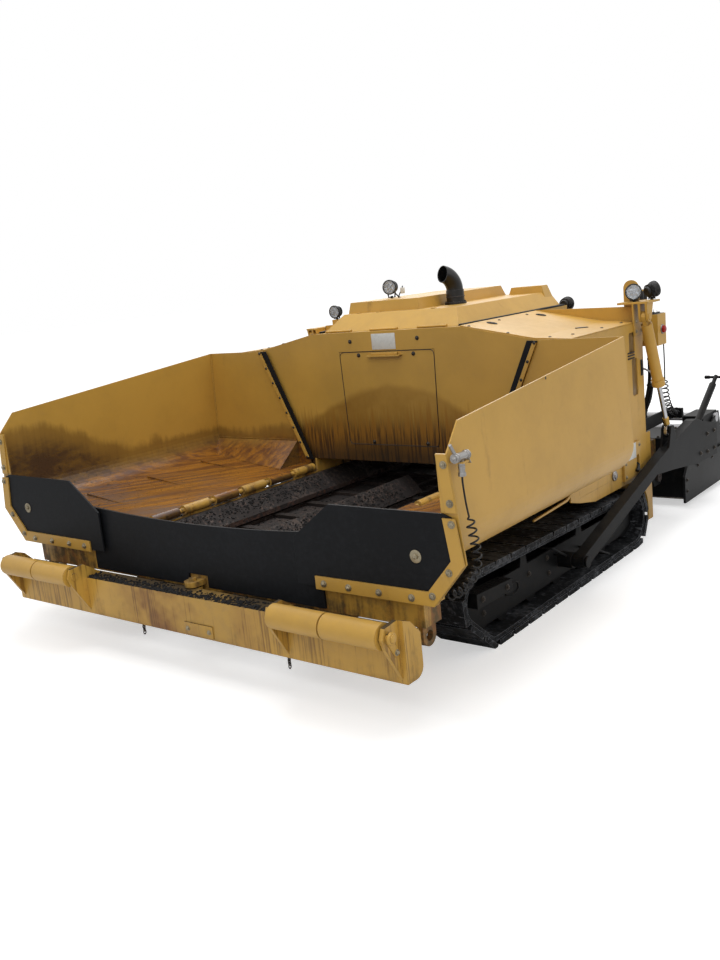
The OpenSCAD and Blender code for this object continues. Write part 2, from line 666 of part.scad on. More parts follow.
// Operator deck with its toe plates, seats and consoles
deck_z = tunnel_z + body_plate + seat_gap;
deck_t = 12;
deck_y1 = 3380;
deck_half_w = body_half_w - 67;
hanger_y1 = 3200;
module operator_deck() color(black) at_origin() {
    difference() {
        box(-deck_half_w, deck_half_w, side_rear_y + 8, deck_y1, deck_z, deck_z + deck_t);
        box(-hood_flat_x - move_gap, hood_flat_x + move_gap, side_rear_y, hanger_y1 + move_gap, deck_z - 1, deck_z + 13);
    }
    both_sides() {
        for (x = [900, 300]) box(x - 6, x + 6, x > 600 ? 3062 : hanger_y1 + move_gap, deck_y1 - 20,
                                 560 + seat_gap, deck_z + 1);
        box(deck_half_w - 12, deck_half_w, side_rear_y + 8, deck_y1, deck_z + 11, deck_z + 80);
        box(deck_half_w - 95, deck_half_w - 45, side_rear_y + seat_gap, side_rear_y + 40, deck_z - 40, deck_z + 1);
        box(deck_half_w - 12, cord_x + 26, cord_end_y, deck_y1, deck_z + 4, cord_end_z + 28);
    }
}

seat_x = 800;
seat_front_y = 3000;
seat_back_y = 3340;
seat_z = deck_z + 312;
seat_top_z = 1440;
module seat_frames() color(dark_steel) at_origin() both_sides() {
    rod_z(deck_z + deck_t + seat_gap, seat_z - 14, seat_x, seat_back_y - 140, 38);
    rod_z(deck_z + deck_t + seat_gap, deck_z + 24, seat_x, seat_back_y - 140, 90);
    box(seat_x - 200, seat_x + 200, seat_front_y + 30, seat_back_y + 10, seat_z - 15, seat_z);
    box(seat_x - 180, seat_x + 180, seat_back_y, seat_back_y + 12, seat_z - 1, seat_top_z - 40);
}
module seat_cushions() color(black) at_origin() both_sides() {
    box(seat_x - 220, seat_x + 220, seat_front_y, seat_back_y - 78, seat_z + seat_gap, seat_z + 85);
    box(seat_x - 210, seat_x + 210, seat_back_y - 72, seat_back_y - seat_gap, seat_z + 25, seat_top_z);
}

console_y0 = 3010;
console_y1 = 3150;
console_z0 = 1200;
console_z1 = 1400;
console_x = body_half_w - 92;
module consoles() color(yellow) at_origin() both_sides() {
    box(console_x - 80, console_x + 80, console_y0, console_y1, console_z0, console_z1);
    box(console_x - 40, console_x + 10, side_rear_y + seat_gap, console_y0 + 1, console_z0 + 40, console_z1 - 60);
    for (y = [console_y0 + 40, console_y0 + 95]) {
        rod_z(console_z1 - 1, console_z1 + 100, console_x - 40, y, 8);
        rod_z(console_z1 + 90, console_z1 + 160, console_x - 40, y, 17);
    }
    rod_x(console_x + 79, console_x + 98, console_y0 + 75, console_z0 + 100, 22);
}

// Black rubber sheet across the middle of the hopper's front
flap_half_w = 840;
flap_y0 = 18;
module centre_flap() color(rubber) at_origin() along_y(flap_y0, cross_y0) difference() {
    polygon(concat([[-flap_half_w, 390], [flap_half_w, 390]],
                   [for (i = [0:12]) let (x = flap_half_w * (1 - i / 6)) [x, 715 + 35 * pow(x / flap_half_w, 2)]]));
    translate([-70, 380]) square([140, beam_top_z + 52 - 380]);
}

// Auger hangers: middle gear case and the outer bearings
auger_in_x = 84;
hanger_x = 1100;
module auger_hangers() color(black) at_origin() {
    box(-74, 74, hood_rear_y + seat_gap, hanger_y1, 300, 760);
    rod_x(-74, 74, auger_y, auger_z, 95);
    box(-74, 74, hanger_y1 - 10, auger_y, auger_z - 40, auger_z + 95);
    both_sides() difference() {
        along_x(hanger_x, hanger_x + 12)
            polygon([[hood_rear_y + seat_gap, 440], [hood_rear_y + 12, 440], [auger_y + 60, auger_z + 30],
                     [auger_y + 60, auger_z - 60], [auger_y - 60, auger_z - 60], [hood_rear_y + seat_gap, 300]]);
        rod_x(hanger_x - 1, hanger_x + 13, auger_y, auger_z, 35 + run_gap);
    }
    both_sides() box(hanger_x - 50, hanger_x + 12, hood_rear_y + seat_gap, hood_rear_y + 10, 435, 555);
}

// Auger: shaft with a screw flight; turn is 1 or -1 for the hand of the screw
flight_len = hanger_x - 25 - auger_in_x - 10;
module flight(turn) {
    steps = floor(flight_len / auger_pitch * 14);
    function at(i, r, x) = [auger_in_x + 10 + flight_len * i / steps + x,
                            auger_y + r * cos(turn * 360 * flight_len / auger_pitch * i / steps),
                            auger_z + r * sin(turn * 360 * flight_len / auger_pitch * i / steps)];
    points = [for (i = [0:steps]) each
        [at(i, 25, 0), at(i, auger_r, 0), at(i, auger_r, 14), at(i, 25, 14)]];
    sides = [for (i = [0:steps - 1], k = [0:3]) each
        split_quad(i * 4 + k, i * 4 + (k + 1) % 4, (i + 1) * 4 + (k + 1) % 4, (i + 1) * 4 + k)];
    ends = [[3, 2, 1, 0], [for (k = [0:3]) steps * 4 + k]];
    faces = concat(sides, ends);
    polyhedron(points = points, faces = turn > 0 ? faces : [for (f = faces) [for (k = [len(f) - 1:-1:0]) f[k]]],
               convexity = 20);
}
module auger(turn) {
    rod_x(auger_in_x - 10 + seat_gap, hanger_x + 30, auger_y, auger_z, 35);
    flight(turn);
}
module auger_left() color(black) at_origin() auger(1);
module auger_right() color(black) at_origin() mirror([1, 0, 0]) auger(1);

// Hose bundle from the lamp tower down to the operator deck, at the left side
hose_x = body_half_w - 37;
hose_points = [[hose_x, 2748, shelf_z], [hose_x, 2748, 1485], [hose_x, 2752, 1460], [hose_x, 2776, 1405], [hose_x, 2850, 1340],
               [hose_x - 2, 2920, 1250], [hose_x - 5, 2953, 1140], [hose_x - 13, 2965, 1000],
               [hose_x - 37, 2970, 870], [hose_x - 75, 2976, 780], [hose_x - 75, 2978, 715],
               [hose_x - 75, 2978, deck_z + deck_t]];
module hose_bundles() color(black) at_origin() tube(hose_points, 26);

// Wing: floor, bend and side panel in one plate, rear wall, front flange and moving knuckles
lean = [cos(wing_lean), sin(wing_lean)];
fall = [cos(wing_floor_fall), sin(wing_floor_fall)];
floor_start = [hinge_x + hinge_r + 8, hinge_z + 10];
side_head = [wing_top_x - wing_plate, wing_top_z];
bend_b = [wing_bend_r + floor_start * [-fall[1], fall[0]], wing_bend_r - side_head * lean];
bend_det = fall[1] * lean[1] + fall[0] * lean[0];
bend_c = [(-bend_b[0] * lean[1] - fall[0] * bend_b[1]) / bend_det,
          (-fall[1] * bend_b[1] + bend_b[0] * lean[0]) / bend_det];

function wing_face(r, d) = concat(
    [floor_start + d * [fall[1], -fall[0]]],
    arc(bend_c, r + d, wing_floor_fall - 90, wing_lean, 10),
    [side_head + d * lean + 120 * [-lean[1], lean[0]]]);
function reversed(p) = [for (i = [len(p) - 1:-1:0]) p[i]];
inside_face = wing_face(wing_bend_r, 0);
module wing_inside(d = 0)
    polygon(concat(wing_face(wing_bend_r, d), [[hinge_x, wing_top_z + 130], [hinge_x, floor_start[1]]]));

module wing_outline()
    polygon([[-1, 400], [-1, wing_corner_z], [104, wing_front_z], [rear_wall_y + wing_plate, wing_top_z],
             [rear_wall_y + wing_plate, 400]]);

side_x = wing_top_x + (wing_top_z - wing_corner_z) * tan(wing_lean);
apron_outer = [[side_x, wing_corner_z], [1628, 690], [1468, 499], [830, 494]];
module front_flange() along_y(0, wing_plate)
    polygon([apron_outer[0], apron_outer[1], apron_outer[2], apron_outer[3], [830, 616],
             [1410, 694], [1530, 790], [side_x - 56, wing_corner_z]]);

flap_reach = flap_half_w + 125;
module wing() difference() {
    union() {
        intersection() {
            along_y(0, rear_wall_y + wing_plate)
                polygon(concat(wing_face(wing_bend_r, 0), reversed(wing_face(wing_bend_r, wing_plate))));
            along_x(0, 2000) wing_outline();
        }
        front_flange();
        intersection() {
            along_y(rear_wall_y, rear_wall_y + wing_plate) wing_inside(2);
            along_y(rear_wall_y - 1, rear_wall_y + wing_plate + 1)
                polygon([seal_foot, [seal_foot[0], floor_start[1] - 10], [1700, floor_start[1] - 10],
                         [1700, wing_top_z - 0.5], seal_head]);
        }
        intersection() {
            along_x(gusset_x, 1700)
                polygon([[rear_wall_y + 1, fold_z], [rear_wall_y - slope_run, 600], [rear_wall_y + 1, 600]]);
            along_y(rear_wall_y - slope_run - 1, rear_wall_y + 1) wing_inside(2);
        }
        for (y = moving_knuckles) {
            rod_y(y + 3, y + knuckle_len - 3, hinge_x, hinge_z, hinge_r);
            along_y(y + 3, y + knuckle_len - 3)
                polygon([[hinge_x + 16, hinge_z - 16], [floor_start[0] + 20, floor_start[1] - 10],
                         [floor_start[0] + 20, floor_start[1] + 2], [hinge_x + 10, hinge_z + 24]]);
        }
        for (y = [420, 900, 1380]) along_y(y, y + 12)
            polygon([[floor_start[0] + 60, floor_start[1] - 4], [1420, 686], [1400, 640], [floor_start[0] + 90, 570]]);
    }
    for (y = moving_knuckles) rod_y(y, y + knuckle_len, hinge_x, hinge_z, hinge_pin_r + run_gap);
    box(0, flap_reach, -1, cross_y0 + 10, 560, 760);
}
module wing_left() color(yellow) at_origin() {
    wing();
    gun_holder();
    gun_fitting();
}
module wing_right() color(yellow) at_origin() mirror([1, 0, 0]) wing();

// Black apron panel in front of the wing and the rubber seal on its inner edge
module wing_rubber() {
    along_y(-flap_t, 0) polygon([[944, 892], [1540, 896], [1580, 880], [1590, 850], [1614, 694], [1462, 510],
                                 [718, 505], [718, 725]]);
    along_y(rear_wall_y - 8, rear_wall_y)
        polygon([seal_foot + [-34, 0], seal_foot + [30, 0], seal_head + [30, -4], seal_head + [-34, 0]]);
}
module wing_rubber_left() color(rubber) at_origin() wing_rubber();
module wing_rubber_right() color(rubber) at_origin() mirror([1, 0, 0]) wing_rubber();

// Yellow clamp strips on the apron panel, the front edge and the seal
module wing_strips() {
    along_y(-flap_t - 8, -flap_t)
        polygon([[1600, 880], [1628, 690], [1468, 499], [830, 494], [830, 494 + strip_w],
                 [1468 - strip_w * 0.42, 499 + strip_w], [1628 - strip_w, 704], [1600 - strip_w + 3, 880]]);
    along_y(-8, 0) polygon([[side_x, wing_corner_z], [side_x - 52, wing_corner_z], [1552, 900], [1604, 900]]);
    along_y(rear_wall_y - 16, rear_wall_y - 8)
        polygon([seal_foot + [2, 14], seal_foot + [28, 14], seal_head + [28, -14], seal_head + [2, -14]]);
}
module wing_strips_left() color(yellow) at_origin() wing_strips();
module wing_strips_right() color(yellow) at_origin() mirror([1, 0, 0]) wing_strips();

// Push beam: open channel with end plates, roller brackets and the middle pivot boss
bracket_x = [beam_half_w - 673, beam_half_w - 43];
module bracket(x, t) along_x(x, x + t) difference() {
    polygon([[beam_rear_y - 60, beam_low_z + 20], [beam_front_y, beam_low_z + 20], [roller_y - 20, roller_z - 50],
             [roller_y - 38, roller_z], [roller_y - 20, roller_z + 45], [beam_front_y - 8, roller_z + 52],
             [beam_front_y + 60, beam_top_z + 30], [beam_rear_y, beam_top_z - 14]]);
    translate([roller_y, roller_z]) circle(r = 20);
}
module push_beam() color(yellow) at_origin() {
    difference() {
        union() {
            box(-beam_half_w + 8, beam_half_w - 8, beam_front_y, beam_front_y + 20, beam_low_z, beam_top_z);
            box(-beam_half_w + 8, beam_half_w - 8, beam_front_y, beam_rear_y, beam_top_z - 15, beam_top_z);
            box(-beam_half_w + 8, beam_half_w - 8, beam_front_y, beam_front_y + 70, beam_low_z, beam_low_z + 15);
            rod_z(334, beam_top_z, 0, pivot_y, boss_r);
            box(-boss_r, boss_r, beam_front_y + 19, pivot_y, 334, beam_top_z);
        }
        rod_z(330, beam_top_z + 1, 0, pivot_y, pivot_r + run_gap);
    }
    both_sides() {
        bracket(bracket_x[0], 16);
        along_x(beam_half_w - 24, beam_half_w)
            polygon(concat([[beam_front_y, beam_low_z], [beam_front_y, roller_z + 50],
                            [beam_front_y + 50, roller_z + 30], [beam_rear_y, beam_top_z - 14]],
                           arc([beam_rear_y - 50, beam_low_z + 50], 50, 0, -90, 6)));
        bracket(bracket_x[1], 20);
        rod_x(bracket_x[0] - 4, beam_half_w - 10, roller_y, roller_z, 20);
    }
}

module push_roller() difference() {
    union() {
        rod_x(bracket_x[0] + 22, 1040, roller_y, roller_z, roller_r);
        rod_x(1039, 1049, roller_y, roller_z, roller_r - 9);
        rod_x(1048, bracket_x[1] - 6, roller_y, roller_z, roller_r);
    }
    rod_x(bracket_x[0], bracket_x[1], roller_y, roller_z, 20 + run_gap);
}
module push_roller_left() color(yellow) at_origin() push_roller();
module push_roller_right() color(yellow) at_origin() mirror([1, 0, 0]) push_roller();

// Engine lid: two hollow tiers with sloping front and sides, hinged at its front edge
lid_z = hood_top_z + seat_gap;
lid_hinge_r = 7;
lid_hinge_y = lid_front_y - lid_hinge_r;
lid_hinge_z = lid_z + lid_hinge_r;
module tier(x0, x1, y0, y1, z0, z1, in_x, in_front, in_rear, d) intersection() {
    along_y(y0 + d, y1 - d) polygon([[x0 + d, z0 - 1], [x1 - d, z0 - 1], [x1 - in_x - d, z1 - d], [x0 + in_x + d, z1 - d]]);
    along_x(x0, x1) polygon([[y0 + d, z0 - 1], [y1 - d, z0 - 1], [y1 - in_rear - d, z1 - d], [y0 + in_front + d, z1 - d]]);
}
lid_sheet = 6;
lid_hinges = [-390, -25, 340];
lid_hinge_half = 100;
// Tiers of the lid: left, right, front, rear, height over the deck, then how far its top is drawn in
// from the sides, the front and the rear
lid_parts = [[-lid_half_w, lid_half_w, lid_front_y, lid_rear_y, 0, lid_h, 80, 130, 10],
             [-460, 120, 1990, lid_rear_y - 18, lid_h - 30, lid_h + lid_tier_h, 18, 20, 60],
             [165, 470, lid_rear_y - 118, lid_rear_y - 8, lid_h - 45, lid_h + 48, 35, 12, 10]];
module lid_tiers(d)
    for (p = lid_parts)
        tier(p[0], p[1], p[2], p[3], lid_z + p[4], lid_z + p[5], p[6], p[7], p[8], d);
module engine_lid() color(yellow) at_origin() {
    difference() {
        intersection() {
            lid_tiers(0);
            box(-lid_half_w, lid_half_w, lid_front_y, lid_rear_y, lid_z, lid_z + 400);
        }
        lid_tiers(lid_sheet);
    }
    for (x = lid_hinges) {
        rod_x(x - lid_hinge_half, x + lid_hinge_half, lid_hinge_y, lid_hinge_z, lid_hinge_r);
        box(x - lid_hinge_half, x + lid_hinge_half, lid_hinge_y, lid_front_y + 10, lid_hinge_z - 2, lid_hinge_z + 4);
    }
}

// Exhaust: bolted foot, riser and an elbow with its mouth to the front
exhaust_x = 196;
exhaust_y = 2300;
exhaust_foot_z = lid_z + lid_h;
exhaust_rise = 88;
elbow_r = 112;
elbow_turn = -20;
module at_elbow() translate([exhaust_x, exhaust_y, exhaust_foot_z + exhaust_rise]) rotate([0, 0, elbow_turn])
    translate([0, -elbow_r, 0]) rotate([90, 0, 90]) children();
module exhaust_stack() color(black) at_origin() {
    rod_z(exhaust_foot_z + seat_gap, exhaust_foot_z + 14, exhaust_x, exhaust_y, exhaust_r + 16);
    difference() {
        union() {
            rod_z(exhaust_foot_z + 10, exhaust_foot_z + exhaust_rise + 2, exhaust_x, exhaust_y, exhaust_r + 4);
            at_elbow() rotate_extrude(angle = 78) translate([elbow_r, 0]) circle(r = exhaust_r);
        }
        at_elbow() rotate([0, 0, 40]) rotate_extrude(angle = 39) translate([elbow_r, 0]) circle(r = exhaust_r - 5);
    }
}

lid_lamp_lift = 74;
module lid_lamp() color(black) at_origin()
    translate([-286, 2265, lid_z + lid_h + lid_tier_h + seat_gap + lid_lamp_lift])
        work_lamp(lamp_r, lamp_depth, lid_lamp_lift);

// Tow arms: slim front bar that deepens into the rear side plate
arm_eye_r = tow_pin_r + 13;
function arm_line_z(y) = tow_z + (y - tow_y) * 0.272;
arm_outline = concat(
    arc([tow_y, tow_z], arm_eye_r, 105, 285, 8),
    [[2640, arm_line_z(2640) - arm_eye_r], [2950, 405], [3360, 350], [3760, 340], [3760, 560]],
    arc([3330, 400], 262, 62, 110, 4),
    [[2960, 590], [2700, arm_line_z(2700) + arm_eye_r]]);
module tow_arm() {
    difference() {
        union() {
            along_x(arm_in_x, arm_in_x + arm_t) polygon(arm_outline);
            for (x = [arm_in_x, arm_in_x + arm_t - ear_t]) along_x(x, x + ear_t) {
                polygon([[lift_low_y - 70, 560], [lift_low_y + 70, 560], [lift_low_y + 30, lift_low_z + 10],
                         [lift_low_y - 30, lift_low_z + 10]]);
                translate([lift_low_y, lift_low_z]) circle(r = 34);
            }
            box(screed_half_w + seat_gap, arm_in_x + 1, screed_front_y + 60, screed_front_y + 260, 325, box_z1);
        }
        rod_x(arm_in_x - 1, arm_in_x + arm_t + 1, tow_y, tow_z, tow_pin_r + run_gap);
        box(arm_in_x + ear_t, arm_in_x + arm_t - ear_t, lift_low_y - 75, lift_low_y + 75, lift_low_z - 62, lift_low_z + 60);
        crank_place() translate([0, 0, -seat_gap]) cylinder(r = crank_r + seat_gap, h = 450);
    }
    rod_x(arm_in_x, arm_in_x + arm_t, lift_low_y, lift_low_z, 18);
}
module tow_arms() color(black) at_origin() both_sides() tow_arm();

// Main screed: box frame, guide sleeves for the extensions and the wear plate underneath
guides = [[ext_front_y + 110, 450], [ext_front_y + 220, 520]];
sleeve_x0 = screed_half_w - 175;
sleeve_x1 = screed_half_w - 20;
module screed_frame() color(black) at_origin() {
    difference() {
        union() {
            difference() {
                along_x(-screed_half_w, screed_half_w)
                    polygon([[screed_front_y, box_z0 + seat_gap], [screed_front_y, 300],
                             [screed_front_y + 50, box_z1], [screed_front_y + screed_depth, box_z1],
                             [screed_front_y + screed_depth, box_z0 + seat_gap]]);
                for (s = [-1, 1]) along_x(s > 0 ? 6 : 12 - screed_half_w, s > 0 ? screed_half_w - 12 : -6)
                    polygon([[screed_front_y + 12, box_z0 - 1], [screed_front_y + 12, 296],
                             [screed_front_y + 60, box_z1 - 12], [screed_front_y + screed_depth - 12, box_z1 - 12],
                             [screed_front_y + screed_depth - 12, box_z0 - 1]]);
            }
            both_sides() box(sleeve_x0, sleeve_x1, screed_front_y + screed_depth - 1,
                             guides[1][0] + guide_r + 20, ext_z1 + 8, guides[1][1] + guide_r + 16);
        }
        both_sides() for (g = guides) rod_x(sleeve_x0 - 1, sleeve_x1 + 1, g[0], g[1], guide_r + run_gap);
    }
    rod_x(-320, 320, screed_front_y + 300, box_z1 + 40, 26);
    both_sides() box(300, 330, screed_front_y + 260, screed_front_y + 340, box_z1 - 1, box_z1 + 80);
}
module screed_plate() color(steel) at_origin() along_x(-screed_half_w, screed_half_w)
    polygon(concat([[screed_front_y + screed_depth, screed_lift], [screed_front_y + screed_depth, box_z0]],
                   arc([screed_front_y + plate_t, screed_lift + plate_t], plate_t, 180, 270, 5)));

// Depth cranks: screw tubes from the tow arm up to the handle
crank_r = 24;
module crank_place() translate([lift_x, 3420, 590]) rotate([-57, 0, 0]) children();
module depth_cranks() color(black) at_origin() both_sides() crank_place() {
    cylinder(r = crank_r, h = 440);
    translate([0, 0, 439]) cylinder(r = 14, h = 90);
    translate([0, 0, 518]) rotate([0, 90, 0]) cylinder(r = 9, h = 150, center = true);
}

// Extension: sliding screed section with plate, guide tubes, end gate and walkway
gate_x = screed_half_w + 8;
ext_x0 = 20;
module extension() {
    difference() {
        box(ext_x0, screed_half_w, ext_front_y, ext_front_y + ext_depth, screed_lift, ext_z1);
        box(ext_x0 - 1, screed_half_w - 12, ext_front_y + 12, ext_front_y + ext_depth - 12,
            screed_lift + plate_t, ext_z1 - 12);
    }
    for (g = guides) rod_x(ext_x0 + 1, screed_half_w, g[0], g[1], guide_r);
    for (x = [ext_x0, screed_half_w - 12]) along_x(x, x + 12)
        polygon([[ext_front_y, ext_z1 - 1], [ext_front_y + ext_depth, ext_z1 - 1],
                 [guides[1][0] + 40, guides[1][1] + 45], [guides[0][0] - 40, guides[0][1] + 40]]);
    box(screed_half_w - 1, gate_x + 1, ext_front_y + 20, ext_front_y + ext_depth - 20, screed_lift + 20, 290);
    along_x(gate_x, gate_x + 16)
        polygon([[screed_front_y - 60, screed_lift - 10], [ext_front_y + ext_depth + 10, screed_lift - 10],
                 [ext_front_y + ext_depth + 10, 300], [screed_front_y, 300], [screed_front_y - 60, 230]]);
    box(ext_x0, screed_half_w - 20, ext_front_y + ext_depth - 1, rear_y, 250, 262);
}
module extension_left() color(black) at_origin() extension();
module extension_right() color(black) at_origin() mirror([1, 0, 0]) extension();

// Lift cylinder: barrel hung on the upper pin, rod with its eye round the lower pin
lift_angle = atan2(lift_low_y - lift_top_y, lift_top_z - lift_low_z);
lift_len = norm([lift_low_y - lift_top_y, lift_top_z - lift_low_z]);
module at_lift() translate([lift_x, lift_top_y, lift_top_z]) rotate([lift_angle, 0, 0]) children();
module lift_barrel() at_lift() difference() {
    union() {
        translate([-ear_gap + 2, 0, 0]) rotate([0, 90, 0]) cylinder(r = 34, h = 2 * ear_gap - 4);
        translate([-ear_gap + 2, -26, -60]) cube([2 * ear_gap - 4, 52, 60]);
        translate([0, 0, -barrel_len]) cylinder(r = barrel_r, h = barrel_len - 48);
        translate([0, 0, -barrel_len]) cylinder(r = barrel_r + 6, h = 40);
    }
    translate([-ear_gap, 0, 0]) rotate([0, 90, 0]) cylinder(r = 20 + run_gap, h = 2 * ear_gap);
    translate([0, 0, -barrel_len - 1]) cylinder(r = lift_rod_r + run_gap, h = barrel_len - 80);
}
eye_hole_r = 30;
module lift_rod() at_lift() difference() {
    union() {
        translate([0, 0, -lift_len + 40]) cylinder(r = lift_rod_r, h = lift_len - 40 - 270);
        translate([-10, 0, -lift_len]) rotate([0, 90, 0]) cylinder(r = 46, h = 20);
    }
    translate([-20, 0, -lift_len]) rotate([0, 90, 0]) cylinder(r = eye_hole_r, h = 40);
}
module lift_barrel_left() color(yellow) at_origin() lift_barrel();
module lift_barrel_right() color(yellow) at_origin() mirror([1, 0, 0]) lift_barrel();
module lift_rod_left() color(steel) at_origin() lift_rod();
module lift_rod_right() color(steel) at_origin() mirror([1, 0, 0]) lift_rod();

// Spray gun in its holder on the left wing's front edge, with its curly hose
gun_x = 1620;
gun_y = 32;
gun_low_z = 1045;
holder_z = 1098;
fitting_x = 1470;
fitting_z = 536;
module gun_holder() difference() {
    box(side_x + (wing_corner_z - holder_z) * tan(wing_lean) - wing_plate / 2, gun_x + 24,
        gun_y - 22, gun_y + 22, holder_z, holder_z + 6);
    rod_z(holder_z - 1, holder_z + 7, gun_x, gun_y, 13 + seat_gap);
}
module gun_fitting() box(fitting_x - 40, fitting_x, wing_plate - 1, gun_y + 26, fitting_z - 26, fitting_z + 26);
module spray_gun() color(steel) at_origin() {
    rod_z(gun_low_z, holder_z + 22, gun_x, gun_y, 13);
    translate([gun_x, gun_y, holder_z + 6 + seat_gap + 17]) rotate([90, 0, 0]) cylinder(r = 17, h = 96, center = true);
    translate([gun_x, gun_y - 40, holder_z + 40]) rotate([35, 0, 0]) cylinder(r = 7, h = 50);
}
gun_coil_points = [[gun_x, gun_y, gun_low_z], [gun_x, gun_y, 1010], [1628, gun_y, 930], [1642, gun_y, 850],
                   [1656, gun_y, 765], [1658, gun_y, 705], [1642, gun_y, 650], [1608, gun_y, 602],
                   [1564, gun_y, 562], [1522, gun_y, 541], [1495, gun_y, fitting_z], [fitting_x, gun_y, fitting_z]];
module gun_coil() color(black) at_origin() tube(gun_coil_points, 22);

// Straight lead and curly cord from the console to the socket on the deck, at the left side
cord_x = 1238;
cord_y = 3130;
cord_start_z = 950;
cord_end_y = 3350;
cord_end_z = 706;
lead_points = [[cord_x, cord_y, console_z0], [cord_x, cord_y, console_z0 - 30], [cord_x + 3, cord_y - 5, 1110],
               [cord_x + 2, cord_y - 2, 1050], [cord_x, cord_y, 1000], [cord_x, cord_y, cord_start_z + 20]];
coil_points = concat(
    [[cord_x, cord_y, cord_start_z + 20]],
    [for (i = [0:9]) [cord_x, cord_y + (cord_end_y - 20 - cord_y) * (1 - cos(10 * i)),
                      cord_start_z - (cord_start_z - cord_end_z) * sin(10 * i)]],
    [[cord_x, cord_end_y, cord_end_z]]);
module console_lead() color(black) at_origin() tube(lead_points, 6);
module console_coil() color(black) at_origin() tube(coil_points, 24);

chassis();
conveyor_bed();
conveyor_chains();
body_shell();
bolted_covers();
engine_block();
track_left();
track_right();
track_wheels();
track_frames();
fenders();
lamp_towers();
tower_lamps();
operator_deck();
seat_frames();
seat_cushions();
consoles();
centre_flap();
auger_hangers();
hose_bundles();
wing_left();
wing_right();
wing_rubber_left();
wing_rubber_right();
wing_strips_left();
wing_strips_right();
push_beam();
push_roller_left();
push_roller_right();
engine_lid();
exhaust_stack();
lid_lamp();
tow_arms();
screed_frame();
screed_plate();
depth_cranks();
extension_left();
extension_right();
lift_barrel_left();
lift_barrel_right();
lift_rod_left();
lift_rod_right();
auger_left();
auger_right();
spray_gun();
gun_coil();
console_lead();
console_coil();
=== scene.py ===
"""Looks of an asphalt paver: finishes, fasteners, lamps, seats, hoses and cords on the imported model."""
import json
import logging
import math
import random
from dataclasses import dataclass
from enum import Enum
from typing import Iterable, Sequence

import bmesh
import bpy
from mathutils import Matrix, Vector

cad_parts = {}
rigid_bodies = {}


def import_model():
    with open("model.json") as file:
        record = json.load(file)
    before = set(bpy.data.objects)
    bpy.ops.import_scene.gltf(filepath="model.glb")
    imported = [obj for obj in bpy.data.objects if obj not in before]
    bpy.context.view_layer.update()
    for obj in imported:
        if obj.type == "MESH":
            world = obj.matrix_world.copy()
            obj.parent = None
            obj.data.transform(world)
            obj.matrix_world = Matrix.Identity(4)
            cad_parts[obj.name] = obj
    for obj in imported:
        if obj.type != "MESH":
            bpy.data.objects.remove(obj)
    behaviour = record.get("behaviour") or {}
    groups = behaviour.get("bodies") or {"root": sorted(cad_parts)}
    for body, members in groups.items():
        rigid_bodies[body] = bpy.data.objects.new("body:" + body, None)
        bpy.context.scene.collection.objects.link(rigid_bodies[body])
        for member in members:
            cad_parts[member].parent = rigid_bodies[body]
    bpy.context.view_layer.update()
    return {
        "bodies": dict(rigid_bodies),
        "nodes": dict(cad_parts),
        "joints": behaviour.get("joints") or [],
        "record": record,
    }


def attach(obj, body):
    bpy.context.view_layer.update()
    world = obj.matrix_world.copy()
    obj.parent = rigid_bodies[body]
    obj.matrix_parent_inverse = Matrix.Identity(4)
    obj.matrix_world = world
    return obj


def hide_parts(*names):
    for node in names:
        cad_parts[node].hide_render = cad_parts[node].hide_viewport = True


LOG = logging.getLogger("paver")
MIDDLE_Y = 2.1025

Triple = tuple[float, float, float]
Place = tuple[float, float, float]
Spot = tuple[Place, Triple]
Route = Sequence[Place]
Pairs = Sequence[tuple[float, float]]

FRONT: Triple = (0.0, -1.0, 0.0)
REAR: Triple = (0.0, 1.0, 0.0)
UP: Triple = (0.0, 0.0, 1.0)
OUT: Triple = (1.0, 0.0, 0.0)
SIDES: Sequence[tuple[int, str]] = ((1, "left"), (-1, "right"))


def at(x: float, y: float, z: float) -> Vector:
    """Turn a place on the machine into the shared frame.

    Args:
        x: Millimetres to the machine's left.
        y: Millimetres behind the hopper's front edge.
        z: Millimetres above the ground.

    Returns:
        The place in metres.
    """
    return Vector((x / 1000, y / 1000 - MIDDLE_Y, z / 1000))


def tone(red: float, green: float, blue: float) -> tuple[float, float, float, float]:
    """Turn a colour as seen on a screen into a shader colour.

    Args:
        red: Red, 0 to 1.
        green: Green, 0 to 1.
        blue: Blue, 0 to 1.

    Returns:
        The linear colour with full alpha.
    """
    linear = [v / 12.92 if v <= 0.04045 else ((v + 0.055) / 1.055) ** 2.4 for v in (red, green, blue)]
    return (linear[0], linear[1], linear[2], 1.0)


YELLOW = tone(0.775, 0.605, 0.27)
BLACK = tone(0.055, 0.057, 0.062)
DUST = tone(0.45, 0.42, 0.38)
RUST = tone(0.40, 0.21, 0.09)
TAR = tone(0.09, 0.085, 0.085)


